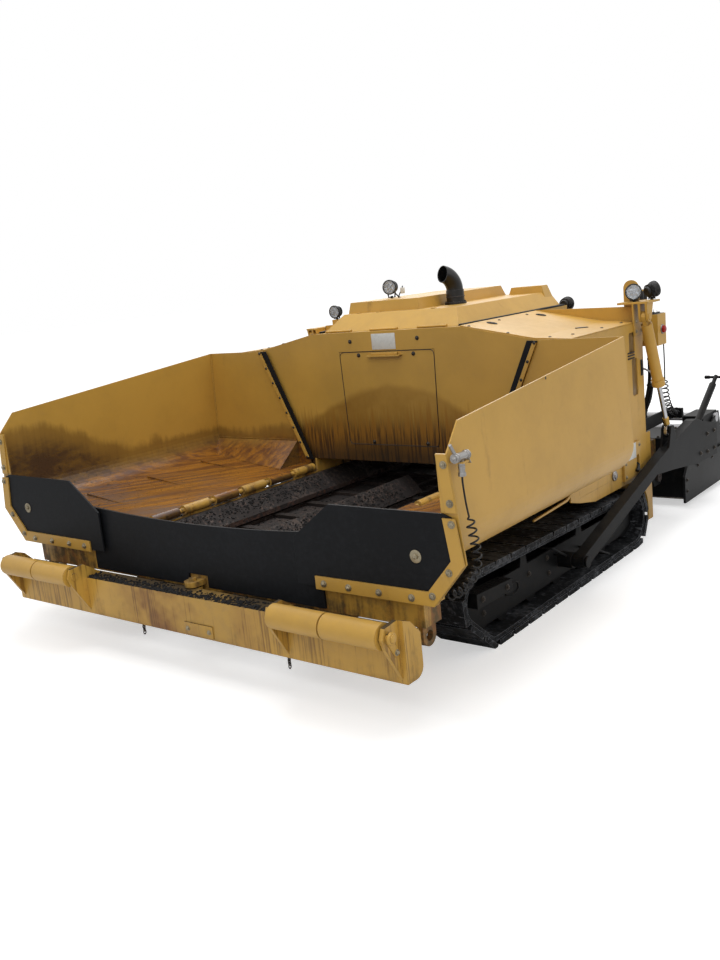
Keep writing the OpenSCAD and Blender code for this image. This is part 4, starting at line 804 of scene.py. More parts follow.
class Form:
    """A mesh under construction, in metres."""

    def __init__(self) -> None:
        """Start an empty mesh."""
        self.mesh = bmesh.new()

    def block(self, low: Vector, high: Vector, edge: float = 0.0, turn: Matrix | None = None) -> None:
        """Add a box with bevelled edges.

        Args:
            low: Its lowest corner.
            high: Its highest corner.
            edge: The bevel's width, or 0.
            turn: A matrix that places the finished box.
        """
        size = high - low
        frame = Matrix.Translation((low + high) / 2) @ Matrix.Diagonal((*size, 1.0))
        made = bmesh.ops.create_cube(self.mesh, size=1.0, matrix=frame)["verts"]
        self._ease(made, edge, turn)

    def disc(self, radius: float, depth: float, place: Matrix, sides: int = 24, edge: float = 0.0) -> None:
        """Add a cylinder along its own Z, starting at its place.

        Args:
            radius: The radius.
            depth: The length.
            place: A matrix from the cylinder's own frame.
            sides: How many sides.
            edge: The bevel's width, or 0.
        """
        made = bmesh.ops.create_cone(self.mesh, cap_ends=True, segments=sides, radius1=radius, radius2=radius,
                                     depth=depth, matrix=Matrix.Translation((0, 0, depth / 2)))["verts"]
        self._ease(made, edge, place)

    def _ease(self, made: list, edge: float, turn: Matrix | None) -> None:
        """Bevel a new shape's sharp edges and place it.

        Args:
            made: The shape's vertices.
            edge: The bevel's width, or 0.
            turn: A matrix that places the shape.
        """
        if edge > 0:
            sharp = {e for v in made for e in v.link_edges if e.calc_face_angle(0.0) > 0.6}
            faces = {f for v in made for f in v.link_faces}
            done = bmesh.ops.bevel(self.mesh, geom=list(sharp), offset=edge, offset_type="OFFSET", segments=2,
                                   profile=0.5, affect="EDGES", material=-1, clamp_overlap=True)
            made = list({v for f in faces | set(done["faces"]) if f.is_valid for v in f.verts})
        if turn is not None:
            bmesh.ops.transform(self.mesh, matrix=turn, verts=made)

    def _adopt(self, made: bmesh.types.BMesh, place: Matrix) -> None:
        """Take over a shape that was made by itself.

        Args:
            made: The shape; it is used up.
            place: A matrix that places it.
        """
        bmesh.ops.remove_doubles(made, verts=made.verts, dist=1e-6)
        bmesh.ops.recalc_face_normals(made, faces=made.faces)
        bmesh.ops.transform(made, matrix=place, verts=made.verts)
        self._take(made)

    def _take(self, made: bmesh.types.BMesh) -> None:
        """Add a mesh under construction to this one.

        Args:
            made: The mesh; it is used up.
        """
        data = bpy.data.meshes.new("part")
        made.to_mesh(data)
        made.free()
        self.mesh.from_mesh(data)
        bpy.data.meshes.remove(data)

    def lathe(self, profile: Pairs, place: Matrix, sides: int = 24) -> None:
        """Turn a profile about its own Z.

        Args:
            profile: Radius and height of each point, in metres.
            place: A matrix from the shape's own frame.
            sides: How many steps round.
        """
        made = bmesh.new()
        points = [made.verts.new((r, 0.0, z)) for r, z in profile]
        lines = [made.edges.new(pair) for pair in zip(points, points[1:])]
        bmesh.ops.spin(made, geom=[*points, *lines], cent=(0, 0, 0), axis=(0, 0, 1), angle=math.tau,
                       steps=sides, use_merge=True)
        self._adopt(made, place)

    def ring(self, radius: float, thick: float, place: Matrix, sides: int = 32) -> None:
        """Add a round ring about its own Z.

        Args:
            radius: The middle radius.
            thick: The ring's own radius.
            place: A matrix from the ring's own frame.
            sides: How many sides round the ring.
        """
        self.lathe([(radius + thick * math.cos(math.tau * i / 8), thick * math.sin(math.tau * i / 8))
                    for i in range(9)], place, sides)

    def bar(self, start: Vector, end: Vector, width: float, thick: float, face: Vector,
            edge: float = 0.0) -> None:
        """Add a flat bar between two points.

        Args:
            start: Its first end.
            end: Its second end.
            width: Its width.
            thick: Its thickness, along the direction that its flat side faces.
            face: Where its flat side faces.
            edge: The bevel's width, or 0.
        """
        way = (end - start).normalized()
        flat = (face - way * face.dot(way)).normalized()
        wide = flat.cross(way)
        turn = Matrix((wide, flat, way)).transposed().to_4x4()
        corner = Vector((width / 2, thick / 2, (end - start).length))
        self.block(Vector((-width / 2, -thick / 2, 0.0)), corner, edge, Matrix.Translation(start) @ turn)

    def tube(self, points: Sequence[Vector], radius: float, sides: int = 10,
             swell: Sequence[float] | None = None) -> None:
        """Sweep a round closed tube along points.

        Args:
            points: The middle line.
            radius: The tube's radius.
            sides: How many sides.
            swell: A factor on the radius at each point.
        """
        rings = []
        for i, (point, frame) in enumerate(zip(points, carried(points))):
            size = radius * (swell[i] if swell else 1.0)
            place = Matrix.Translation(point) @ frame.to_4x4()
            circle = bmesh.ops.create_circle(self.mesh, segments=sides, radius=size, matrix=place)
            rings.append(circle["verts"])
        for near, far in zip(rings, rings[1:]):
            for k in range(sides):
                self.mesh.faces.new((near[k], near[(k + 1) % sides], far[(k + 1) % sides], far[k]))
        self.mesh.faces.new(list(reversed(rings[0])))
        self.mesh.faces.new(rings[-1])

    def crumb(self, place: Vector, size: float, chance: random.Random) -> None:
        """Add one crumb of asphalt.

        Args:
            place: Its middle.
            size: Its radius.
            chance: The source of its shape.
        """
        wide = chance.uniform(0.8, 1.3)
        deep = chance.uniform(0.8, 1.3)
        flat = Matrix.Diagonal((wide, deep, chance.uniform(0.5, 0.9), 1.0))
        spin = Matrix.Rotation(chance.uniform(0, math.tau), 4, "Z")
        spin = spin @ Matrix.Rotation(chance.uniform(0, 3), 4, "X")
        bmesh.ops.create_icosphere(self.mesh, subdivisions=1, radius=size,
                                   matrix=Matrix.Translation(place) @ flat @ spin)

    def scatter(self, spots: Sequence[tuple[Vector, float]], chance: random.Random, batch: int = 60) -> None:
        """Add crumbs of asphalt in batches, which keeps the meshes that are worked on small.

        Args:
            spots: The middle and the radius of each crumb.
            chance: The source of their shapes.
            batch: How many crumbs are made at once.
        """
        for first in range(0, len(spots), batch):
            part = Form()
            for place, size in spots[first:first + batch]:
                part.crumb(place, size, chance)
            self._take(part.mesh)

    def finish(self, name: str, body: str, kit: Kit,
               smooth: float = 40.0) -> bpy.types.Object:
        """Turn the mesh into a piece that rides on a body.

        Args:
            name: The piece's name.
            body: The body it rides on.
            kit: Its finish.
            smooth: Edges flatter than this angle are shaded smooth.

        Returns:
            The new object.
        """
        data = bpy.data.meshes.new(name)
        self.mesh.normal_update()
        self.mesh.to_mesh(data)
        self.mesh.free()
        data.materials.append(kit.material)
        piece = show(name, data)
        data.shade_smooth()
        data.set_sharp_from_angle(angle=math.radians(smooth))
        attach(piece, body)
        LOG.info("%s: %d faces", name, len(data.polygons))
        return piece


def aim(place: Vector, direction: Vector, spin: float = 0.0) -> Matrix:
    """Give a matrix whose Z looks along a direction.

    Args:
        place: Where its origin lies.
        direction: Where its Z looks.
        spin: A turn about that Z in radians.

    Returns:
        The matrix.
    """
    turn = direction.normalized().to_track_quat("Z", "Y").to_matrix().to_4x4()
    return Matrix.Translation(place) @ turn @ Matrix.Rotation(spin, 4, "Z")


def rounded(points: Sequence[Vector], steps: int = 8) -> list[Vector]:
    """Draw a smooth curve through points.

    Args:
        points: The points that it passes.
        steps: How many pieces between two points.

    Returns:
        The points of the curve.
    """
    ends = [points[0] * 2 - points[1], *points, points[-1] * 2 - points[-2]]
    line = []
    for a, b, c, d in zip(ends, ends[1:], ends[2:], ends[3:]):
        for i in range(steps):
            t = i / steps
            line.append(0.5 * (2 * b + (c - a) * t + (2 * a - 5 * b + 4 * c - d) * t * t
                               + (3 * b - a - 3 * c + d) * t ** 3))
    return [*line, points[-1].copy()]


def evenly(points: Sequence[Vector], step: float) -> list[Vector]:
    """Set points at even steps along a line.

    Args:
        points: The line.
        step: The distance between two points.

    Returns:
        The new points, both ends kept.
    """
    total = path_length(points)
    count = max(2, round(total / step))
    wanted = [total * i / count for i in range(count + 1)]
    line = []
    gone = 0.0
    k = 0
    for mark in wanted:
        while k < len(points) - 2 and gone + (points[k + 1] - points[k]).length < mark:
            gone += (points[k + 1] - points[k]).length
            k += 1
        span = (points[k + 1] - points[k]).length
        line.append(points[k].lerp(points[k + 1], min(1.0, (mark - gone) / span)))
    return line


def path_length(points: Sequence[Vector]) -> float:
    """Measure a line of points.

    Args:
        points: The line.

    Returns:
        Its length in metres.
    """
    return sum((b - a).length for a, b in zip(points, points[1:]))


def carried(points: Sequence[Vector]) -> list[Matrix]:
    """Carry a frame along a line without twisting it.

    Args:
        points: The line.

    Returns:
        A frame for each point, with Z along the line.
    """
    forward = (points[1] - points[0]).normalized()
    frame = forward.to_track_quat("Z", "Y").to_matrix()
    frames = []
    for i, _ in enumerate(points):
        ahead = (points[min(i + 1, len(points) - 1)] - points[max(i - 1, 0)]).normalized()
        frame = forward.rotation_difference(ahead).to_matrix() @ frame
        forward = ahead
        frames.append(frame.copy())
    return frames


@dataclass
class WorkLamp:
    """A round work lamp: shade, bezel, bowl with its small emitters, glass, fork and foot."""

    place: Place
    turn: float = 0.0
    tilt: float = 0.0
    radius: float = 50.0
    depth: float = 60.0
    drop: float = 58.0

    def frame(self) -> Matrix:
        """Give the lamp's own frame.

        Returns:
            A matrix with Z out of the glass.
        """
        turn = math.radians(self.turn)
        rise = math.tan(math.radians(self.tilt))
        return aim(at(*self.place), Vector((math.sin(turn), -math.cos(turn), rise)))

    def shade(self, form: Form) -> None:
        """Add the shade with its cooling fins, the fork and the foot.

        Args:
            form: The mesh that takes them.
        """
        r = self.radius / 1000
        half = self.depth / 2000
        frame = self.frame()
        form.lathe([(0.0, -half - 0.012), (0.50 * r, -half - 0.012), (0.60 * r, -half - 0.006),
                    (0.64 * r, -0.010), (0.90 * r, 0.004), (0.97 * r, 0.010), (r, half - 0.006),
                    (0.985 * r, half), (0.90 * r, half), (0.86 * r, half - 0.010), (0.0, half - 0.012)],
                   frame, 36)
        for i in range(7):
            fin = half * -0.9 + i * half * 0.17
            form.disc(0.80 * r, 0.0022, frame @ Matrix.Translation((0, 0, fin)), 28)
        turn = math.radians(self.turn)
        across = Vector((math.cos(turn), math.sin(turn), 0.0))
        middle = at(*self.place)
        foot = middle - Vector((0, 0, self.drop / 1000))
        for side in (-1.0, 1.0):
            ear = middle + across * (r * 0.70 * side) - Vector((0, 0, 0.004))
            knee = foot + across * (r * 0.46 * side) + Vector((0, 0, 0.010))
            form.bar(ear, knee, 0.012, 0.0045, across)
            form.disc(0.008, 0.006, aim(ear + across * 0.001 * side, across * side), 6)
        base = foot + Vector((0, 0, 0.007))
        form.bar(base + across * r * 0.5, base - across * r * 0.5, 0.022, 0.005, Vector(UP))
        form.disc(0.009, 0.016, aim(foot, Vector(UP)), 12)

    def bowl(self, form: Form) -> None:
        """Add the bright bowl and its emitters.

        Args:
            form: The mesh that takes them.
        """
        r = self.radius / 1000
        half = self.depth / 2000
        frame = self.frame()
        form.lathe([(0.84 * r, half - 0.0035), (0.78 * r, half - 0.0095), (0.40 * r, half - 0.0105),
                    (0.0, half - 0.0105)], frame, 32)
        for i in range(6):
            spin = math.tau * i / 6
            aside = Vector((math.cos(spin) * 0.50 * r, math.sin(spin) * 0.50 * r, half - 0.0105))
            form.lathe([(0.0, 0.0006), (0.07 * r, 0.0008), (0.22 * r, 0.0062), (0.24 * r, 0.0062),
                        (0.24 * r, 0.0)], frame @ Matrix.Translation(aside), 14)
        form.lathe([(0.0, 0.0052), (0.16 * r, 0.0050), (0.20 * r, 0.0)],
                   frame @ Matrix.Translation((0, 0, half - 0.0105)), 14)

    def glass(self, form: Form) -> None:
        """Add the front glass.

        Args:
            form: The mesh that takes it.
        """
        r = self.radius / 1000
        half = self.depth / 2000
        form.lathe([(0.0, half - 0.0005), (0.6 * r, half - 0.0010), (0.87 * r, half - 0.0024),
                    (0.87 * r, half - 0.0040), (0.0, half - 0.0030)], self.frame(), 32)


@dataclass
class LampSet:
    """All work lamps of one body, as a shade piece, a bowl piece and a glass piece."""

    name: str
    body: str
    node: str
    lamps: Sequence[WorkLamp]
    brackets: Sequence[tuple] = ()

    def build(self) -> None:
        """Make the three pieces; the shades stand for the plain lamps."""
        shades = Form()
        bowls = Form()
        glasses = Form()
        for lamp in self.lamps:
            lamp.shade(shades)
            lamp.bowl(bowls)
            lamp.glass(glasses)
        for low, high in self.brackets:
            for side in (1, -1):
                ends = sorted((low[0] * side, high[0] * side))
                shades.block(at(ends[0], *low[1:]), at(ends[1], *high[1:]), 0.001)
        piece = shades.finish(f"{self.name}_shades", self.body, Kit.LAMP_PLASTIC)
        bowls.finish(f"{self.name}_bowls", self.body, Kit.REFLECTOR)
        glasses.finish(f"{self.name}_glass", self.body, Kit.LENS_GLASS)
        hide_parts(self.node)


@dataclass
class Bolts:
    """Hexagon bolts with washers, all of one size and on one body."""

    name: str
    body: str
    spots: Sequence[Spot]
    size: float = 9.0
    washer: float = 1.45
    kit: Kit = Kit.ZINC

    def build(self) -> None:
        """Make all bolts as one mesh."""
        form = Form()
        chance = random.Random(len(self.spots) * 7 + int(self.size))
        r = self.size / 1000
        for place, way in self.spots:
            frame = aim(at(*place), Vector(way), chance.uniform(0.0, math.pi / 3))
            form.disc(r * self.washer, r * 0.24, frame, 20, edge=r * 0.06)
            head = frame @ Matrix.Translation((0, 0, r * 0.22))
            form.disc(r, r * 0.62, head, 6, edge=r * 0.10)
            form.lathe([(0.0, r * 0.96), (r * 0.30, r * 0.95), (r * 0.42, r * 0.84), (r * 0.42, r * 0.60)],
                       head, 10)
        form.finish(self.name, self.body, self.kit, smooth=30.0)


@dataclass
class Screws:
    """Low round-headed screws with a dark socket."""

    name: str
    body: str
    spots: Sequence[Spot]
    size: float = 7.0

    def build(self) -> None:
        """Make all screws as one mesh."""
        form = Form()
        r = self.size / 1000
        for place, way in self.spots:
            form.lathe([(0.0, r * 0.18), (r * 0.38, r * 0.18), (r * 0.40, r * 0.46), (r * 0.66, r * 0.44),
                        (r * 0.94, r * 0.22), (r, 0.0)], aim(at(*place), Vector(way)), 16)
        form.finish(self.name, self.body, Kit.DARK_SCREW)


def weld(form: Form, start: Place, end: Place, radius: float, chance: random.Random) -> None:
    """Lay a rippled weld bead along a straight seam.

    Args:
        form: The mesh that takes it.
        start: Its first point in millimetres.
        end: Its last point.
        radius: The bead's radius in millimetres.
        chance: The source of its small changes in width.
    """
    line = evenly([at(*start), at(*end)], 0.006)
    form.tube(line, radius / 1000, 6, swell=[1.0 + chance.uniform(-0.14, 0.14) for _ in line])


def mirrored(spots: Iterable[Spot], side: int) -> list[Spot]:
    """Give the same spots for one side of the machine.

    Args:
        spots: Places and directions on the machine's left.
        side: 1 for the left, -1 for the right.

    Returns:
        The spots on that side.
    """
    return [((x * side, y, z), (a * side, b, c)) for (x, y, z), (a, b, c) in spots]


def sided(places: Iterable[Place], side: int) -> list[Vector]:
    """Give places on one side of the machine in the shared frame.

    Args:
        places: Places on the machine's left, in millimetres.
        side: 1 for the left, -1 for the right.

    Returns:
        The places in metres.
    """
    return [at(x * side, y, z) for x, y, z in places]


COVER_FOLD = 1036.0
COVER_TOP = 1403.0


def cover_z(x: float) -> float:
    """Give the height of the sloping deck covers.

    Args:
        x: The distance from the middle in millimetres.

    Returns:
        The height in millimetres.
    """
    if x < COVER_FOLD:
        return COVER_TOP + (COVER_FOLD - x) * 0.1896
    return COVER_TOP - (x - COVER_FOLD) * 0.0541


@dataclass
class WingTrim:
    """Fasteners and seams of one hopper wing."""

    side: int
    word: str
    strip: Pairs = ((1584, 857), (1554, 655), (1463, 545), (1357, 525), (1187, 525), (1021, 525),
                              (880, 525))
    edge: Pairs = ((1562, 1094), (1578, 939))
    panel: tuple = (1392, 705)
    seal: tuple = ((721, 666), (1055, 1378))
    seal_bolts: int = 8
    seal_y: float = 1719
    seams: Sequence[tuple] = (((812, 1733, 781), (1578, 1733, 781)), ((812, 1526, 621), (1395, 1585, 668)),
                              ((1556, 1733, 1380), (1578, 1733, 960)))

    def build(self) -> None:
        """Make the bolts of the strips, the panel and the seal, and the weld beads inside."""
        body = f"wing_{self.word[0]}"
        spots = [((x, -18, z), FRONT) for x, z in self.strip] + [((x, -8, z), FRONT) for x, z in self.edge]
        Bolts(f"strip_bolts_{self.word}", body, mirrored(spots, self.side), 12.5, 1.32).build()
        x, z = self.panel
        Bolts(f"panel_bolt_{self.word}", body, mirrored([((x, -10, z), FRONT)], self.side), 13.0, 2.2).build()
        (x0, z0), (x1, z1) = self.seal
        shares = [i / (self.seal_bolts - 1) for i in range(self.seal_bolts)]
        line = [((x0 + (x1 - x0) * part, self.seal_y, z0 + (z1 - z0) * part), FRONT) for part in shares]
        Screws(f"seal_screws_{self.word}", body, mirrored(line, self.side), 9.0).build()
        form = Form()
        chance = random.Random(11)
        for start, end in self.seams:
            weld(form, (start[0] * self.side, *start[1:]), (end[0] * self.side, *end[1:]), 4.5, chance)
        form.finish(f"wing_welds_{self.word}", body, Kit.HOPPER_PAINT)


@dataclass
class HoodTrim:
    """Plates, fasteners and latches of the housing."""

    wall: float = 1752.0
    side_wall: float = 1256.0
    label: Pairs = ((-96, 1373), (87, 1472))
    wall_screws: Pairs = ((-271, 1429), (252, 1434), (-211, 1341), (215, 1341), (-151, 782),
                                    (266, 782))
    screws: Pairs = ((607, 1780), (867, 1771), (1109, 1806), (1178, 1947), (1200, 2282),
                               (1200, 2560), (607, 2130), (607, 2480))
    latches: Pairs = ((640, 1986), (675, 2538))
    cover: Pairs = ((-366, 1362), (366, 1362), (352, 765), (-352, 765))
    round_corner: float = 0.034
    lip: Route = ((-105, 1746, 1345.5), (97, 1746, 1345.5))
    slot: Pairs = ((1056, 2237), (1100, 2307))
    lid_strip: Route = ((541, 1790, 1494.5), (541, 3120, 1494.5))
    # Recesses in the side walls as y, z, width and height; each gets a plate of painted shade.
    pockets: Sequence[tuple] = ((2560, 1270, 84, 130), (2590, 1060, 84, 230))
    lever: Route = ((1268, 2545, 530), (1283, 2540, 522), (1289, 2520, 504), (1289, 2498, 492))
    handle: Route = ((1266, 2700, 1096), (1269, 2731, 1089), (1272, 2800, 1062), (1272, 2824, 1051))
    box_bolts: Pairs = ((2362, 480), (2362, 560), (2362, 640), (2572, 480), (2572, 642))
    wall_bolts: Pairs = ((2610, 1335), (2690, 1335), (2610, 1395))
    louvre_y: Sequence[float] = (2490, 2590)
    louvre_z: Sequence[float] = (1180, 1197, 1214)
    pull_plate: Route = ((1264, 2692, 1055), (1264, 2692, 1153))
    pull_grip: Route = ((1267, 2692, 1075), (1267, 2692, 1133))
    fitting: Place = (1262, 2217, 522)
    side_label: Route = ((1279, 2451, 573), (1279, 2451, 668))

    def front(self) -> None:
        """Make the blank label plate and the bolts of the hopper's rear wall."""
        (x0, z0), (x1, z1) = self.label
        form = Form()
        form.block(at(x0, self.wall - 2.5, z0), at(x1, self.wall - 0.2, z1), 0.0008)
        form.finish("front_label", "tractor", Kit.WHITE_LABEL)
        spots = [((x, self.wall - 0.2, z), FRONT) for x, z in self.wall_screws]
        Bolts("front_bolts", "tractor", spots, 9.0, 1.5, Kit.DARK_SCREW).build()
        groove = Form()
        groove.tube(self.cover_line(), 0.0024, 8)
        groove.finish("cover_groove", "tractor", Kit.DARK_SCREW)
        lip = Form()
        lip.bar(*[at(*p) for p in self.lip], 0.020, 0.007, Vector(FRONT), 0.0025)
        lip.finish("cover_lip", "tractor", Kit.YELLOW_PAINT)

    def cover_line(self) -> list[Vector]:
        """Draw the service cover's outline with its rounded corners.

        Returns:
            The outline's points, the first one repeated at the end.
        """
        corners = [at(x, self.wall - 0.6, z) for x, z in self.cover]
        line = []
        for before, corner, after in zip(corners[-1:] + corners, corners, corners[1:] + corners[:1]):
            near = corner + (before - corner).normalized() * self.round_corner
            far = corner + (after - corner).normalized() * self.round_corner
            line += [near.lerp(corner, t / 5).lerp(corner.lerp(far, t / 5), t / 5) for t in range(6)]
        return [*line, line[0].copy()]

    def deck(self) -> None:
        """Make screws, latches, slot handles and rubber strips of the deck covers."""
        slope = Vector((0.186, 0.0, 0.9826))
        screws = []
        latches = Form()
        strips = Form()
        for side in (1, -1):
            spots = [((x, y, cover_z(x)), (0.18 if x < COVER_FOLD else 0.054, 0.0, 1.0))
                     for x, y in self.screws]
            screws += mirrored(spots, side)
            way = Vector((slope.x * side, 0.0, slope.z))
            for x, y in self.latches:
                place = aim(at(x * side, y, cover_z(x)), way) @ Matrix.Diagonal((1.0, 1.9, 1.0, 1.0))
                latches.lathe([(0.0, 0.002), (0.011, 0.002), (0.013, 0.006), (0.017, 0.006), (0.020, 0.0)],
                              place, 28)
                latches.block(Vector((-0.004, -0.008, 0.0)), Vector((0.004, 0.008, 0.007)), 0.001,
                              aim(at(x * side, y, cover_z(x)), way))
            ends = [at(x * side, y, cover_z(x) + 2) for x, y in self.slot]
            latches.bar(*ends, 0.016, 0.005, way, 0.0015)
            strips.bar(*sided(self.lid_strip, side), 0.026, 0.012, Vector(UP), 0.003)
        Screws("deck_screws", "tractor", screws, 10.0).build()
        latches.finish("deck_latches", "tractor", Kit.LAMP_PLASTIC)
        strips.finish("lid_strips", "tractor", Kit.HOSE_RUBBER)

    def side(self) -> None:
        """Make louvres, pull handles, boxes' labels, levers and plates of painted shade in the recesses on
        both side walls.
        """
        plates = Form()
        pockets = Form()
        dark = Form()
        bright = Form()
        labels = Form()
        for side in (1, -1):
            for z in self.louvre_z:
                ends = [at((self.side_wall + 7.5) * side, y, z) for y in self.louvre_y]
                plates.bar(*ends, 0.009, 0.005, Vector(OUT), 0.0015)
            dark.bar(*sided(self.pull_plate, side), 0.030, 0.007, Vector(OUT), 0.003)
            dark.bar(*sided(self.pull_grip, side), 0.014, 0.006, Vector(OUT), 0.002)
            dark.tube(sided(self.lever, side), 0.009, 10, swell=[1.0, 1.0, 1.15, 1.3])
            bright.tube(sided(self.handle, side), 0.006, 10)
            x, y, z = self.fitting
            bright.disc(0.030, 0.011, aim(at(x * side, y, z), Vector((side, 0, 0))), 28, edge=0.003)
            bright.disc(0.017, 0.016, aim(at((x + 2) * side, y, z), Vector((side, 0, 0))), 20, edge=0.002)
            labels.bar(*sided(self.side_label, side), 0.130, 0.002, Vector(OUT), 0.0005)
            # Painted shade: a thin plate in the darkened copy of the yellow paint fills each recess.
            for y, z, width, height in self.pockets:
                middle = at(self.side_wall * side, y, z)
                half = Vector((0.0013, width / 2000 - 0.003, height / 2000 - 0.003))
                pockets.block(middle - half, middle + half, 0.001)
        pockets.finish("side_pockets", "tractor", Kit.RECESS_SHADE_PAINT)
        plates.finish("side_louvres", "tractor", Kit.LAMP_PLASTIC)
        dark.finish("side_pulls", "tractor", Kit.LAMP_PLASTIC)
        bright.finish("side_fittings", "tractor", Kit.CAST_GREY)
        labels.finish("side_labels", "tractor", Kit.WHITE_LABEL)
        spots = [((1278, y, z), OUT) for y, z in self.box_bolts]
        spots += [((1272, y, z), OUT) for y, z in self.wall_bolts]
        for side, word in SIDES:
            Bolts(f"side_bolts_{word}", "tractor", mirrored(spots, side), 8.0).build()

    def build(self) -> None:
        """Dress front, deck and sides."""
        self.front()
        self.deck()
        self.side()


@dataclass
class LidTrim:
    """Tabs, hinge pins, exhaust bolts and the lamp's stay on the engine lid."""

    top: float = 1592.3
    tab_x: Sequence[float] = (-330, -170, 255)
    hinge_x: Sequence[float] = (-390, -25, 340)
    exhaust: tuple = (196.0, 2300.0)
    exhaust_turns: Sequence[float] = (20, 110, 200, 290)
    stay: Route = ((-232, 2265, 1662.8), (-218, 2265, 1690), (-200, 2265, 1712), (-190, 2265, 1738))
    lead: Route = ((-286, 2298, 1700), (-262, 2306, 1672), (-236, 2290, 1664))

    def build(self) -> None:
        """Make all small pieces of the lid."""
        tabs = Form()
        for x in self.tab_x:
            tabs.block(at(x - 14, 1940, self.top - 0.5), at(x + 14, 1962, self.top + 5), 0.0012)
        for x in self.hinge_x:
            for end in (-1, 1):
                place = aim(at(x + end * 99, 1793, 1495.3), Vector((end, 0, 0)))
                tabs.disc(0.0095, 0.006, place, 16, edge=0.001)
        tabs.finish("lid_tabs", "lid", Kit.YELLOW_PAINT)
        x, y = self.exhaust
        turns = [math.radians(angle) for angle in self.exhaust_turns]
        spots = [((x + 61 * math.cos(turn), y + 61 * math.sin(turn), 1606.3), UP) for turn in turns]
        Bolts("exhaust_bolts", "lid", spots, 7.0, 1.3, Kit.DARK_SCREW).build()
        band = Form()
        band.ring(0.0585, 0.0035, aim(at(x, y, 1640), Vector(UP)), 36)
        band.finish("exhaust_band", "lid", Kit.IRON)
        stay = Form()
        for route, radius in ((self.stay, 0.004), (self.lead, 0.0045)):
            stay.tube(rounded([at(*p) for p in route], 5), radius, 10)
        stay.finish("lamp_stay", "lid", Kit.LAMP_PLASTIC)
        plug = Form()
        plug.block(at(-206, 2255, 1688), at(-180, 2275, 1728), 0.003)
        plug.finish("lamp_connector", "lid", Kit.WHITE_LABEL)


@dataclass
class BeamTrim:
    """Keepers, bolts, hanging chains and caked dirt on the push beam."""

    keeper: Route = ((1374, -226, 425), (1374, -170, 338))
    pin: Place = (1383, -218, 425)
    plate: Route = ((46, -151, 205), (247, -145, 268))
    chains: Pairs = ((-347, -100), (688, -100))
    links: int = 6
    ledge: float = 400.0
    crumbs: int = 2600
    heaps: Sequence[float] = (-1150, -700, -150, 330, 820, 1130)

    def build(self) -> None:
        """Make the small pieces of the beam."""
        keeper = Form()
        spots = []
        for side in (1, -1):
            keeper.bar(*sided(self.keeper, side), 0.032, 0.006, Vector(OUT), 0.0015)
            x, y, z = self.pin
            keeper.disc(0.027, 0.012, aim(at(x * side, y, z), Vector((side, 0, 0))), 28, edge=0.003)
            keeper.disc(0.019, 0.008, aim(at((x + 10) * side, y, z), Vector((side, 0, 0))), 6, edge=0.002)
            spots += mirrored([((1377, -176, 348), OUT)], side)
        keeper.finish("roller_keepers", "beam", Kit.ROLLER_PAINT)
        Bolts("keeper_bolts", "beam", spots, 10.0, 1.4).build()
        plate = Form()
        plate.block(*[at(*p) for p in self.plate], 0.0015)
        plate.finish("beam_plate", "beam", Kit.BEAM_PAINT)
        Bolts("beam_plate_bolts", "beam", [((x, -151, 236), FRONT) for x in (70, 222)], 9.0, 1.4).build()
        chain = Form()
        for x, y in self.chains:
            for i in range(self.links):
                way = Vector((1, 0, 0)) if i % 2 else Vector(FRONT)
                place = aim(at(x, y, 206 - 15 * i), way) @ Matrix.Diagonal((0.8, 1.25, 1.0, 1.0))
                chain.ring(0.0095, 0.0028, place, 14)
        chain.finish("beam_chains", "beam", Kit.IRON)
        caked = Form()
        chance = random.Random(23)
        spots = []
        for _ in range(self.crumbs):
            x = chance.choice(self.heaps) + chance.gauss(0, 170)
            y = -142 + abs(chance.gauss(0, 42))
            size = chance.uniform(2.5, 7.5)
            if abs(x) < 1350 and not (abs(x) < 75 and y > -75) and y < -40:
                spots.append((at(x, y, self.ledge + size * 0.35), size / 1000))
        caked.scatter(spots, chance)
        caked.finish("beam_crumbs", "beam", Kit.ASPHALT)


@dataclass
class ConveyorTrim:
    """Links and pins of the slat chains, and crumbs that stick to the conveyor."""

    chain_x: Sequence[float] = (-590, -90, 60, 560)
    first: float = 250.0
    last: float = 2990.0
    pitch: float = 64.0
    top: float = 425.0
    floor: float = 400.0
    ridge: tuple = (105.0, 543.0)
    guard: tuple = (535.0, 468.0)
    widest: float = 640.0
    crumbs: int = 4200

    def level(self, x: float) -> float:
        """Give the height of what a crumb lies on: the floor, the middle ridge or a chain guard.

        Args:
            x: The crumb's distance from the middle in millimetres.

        Returns:
            The height in millimetres.
        """
        reach, crest = self.ridge
        if x < reach:
            return crest - x
        start, foot = self.guard
        return foot + (x - start) * 0.85 if x > start else self.floor

    def build(self) -> None:
        """Make the upper run's link plates and pins, and the crumbs."""
        links = Form()
        pins = Form()
        count = int((self.last - self.first) / self.pitch)
        for x in self.chain_x:
            for i in range(count):
                y = self.first + i * self.pitch
                for face, way in ((x - 2.5, -1), (x + 32.5, 1)):
                    plate = face + way * (3.2 if i % 2 else 0.0)
                    links.bar(at(plate, y + 6, self.top - 13), at(plate, y + self.pitch + 4, self.top - 13),
                              0.020, 0.003, Vector(OUT))
                pins.disc(0.006, 0.043, aim(at(x - 6.5, y, self.top - 13), Vector(OUT)), 8)
        links.finish("chain_links", "tractor", Kit.CHAIN_STEEL)
        pins.finish("chain_pins", "tractor", Kit.CHAIN_STEEL)
        crumbs = Form()
        chance = random.Random(41)
        spots = []
        for _ in range(self.crumbs):
            x = chance.choice((chance.gauss(-60, 26), chance.gauss(60, 26), chance.uniform(-530, 530),
                               chance.gauss(600, 30), chance.gauss(-600, 30)))
            y = chance.uniform(330, 1700)
            size = chance.uniform(2.2, 7.0)
            if abs(x) < self.widest:
                spots.append((at(x, y, self.level(abs(x)) + size * 0.3), size / 1000))
        crumbs.scatter(spots, chance)
        crumbs.finish("conveyor_crumbs", "tractor", Kit.ASPHALT)


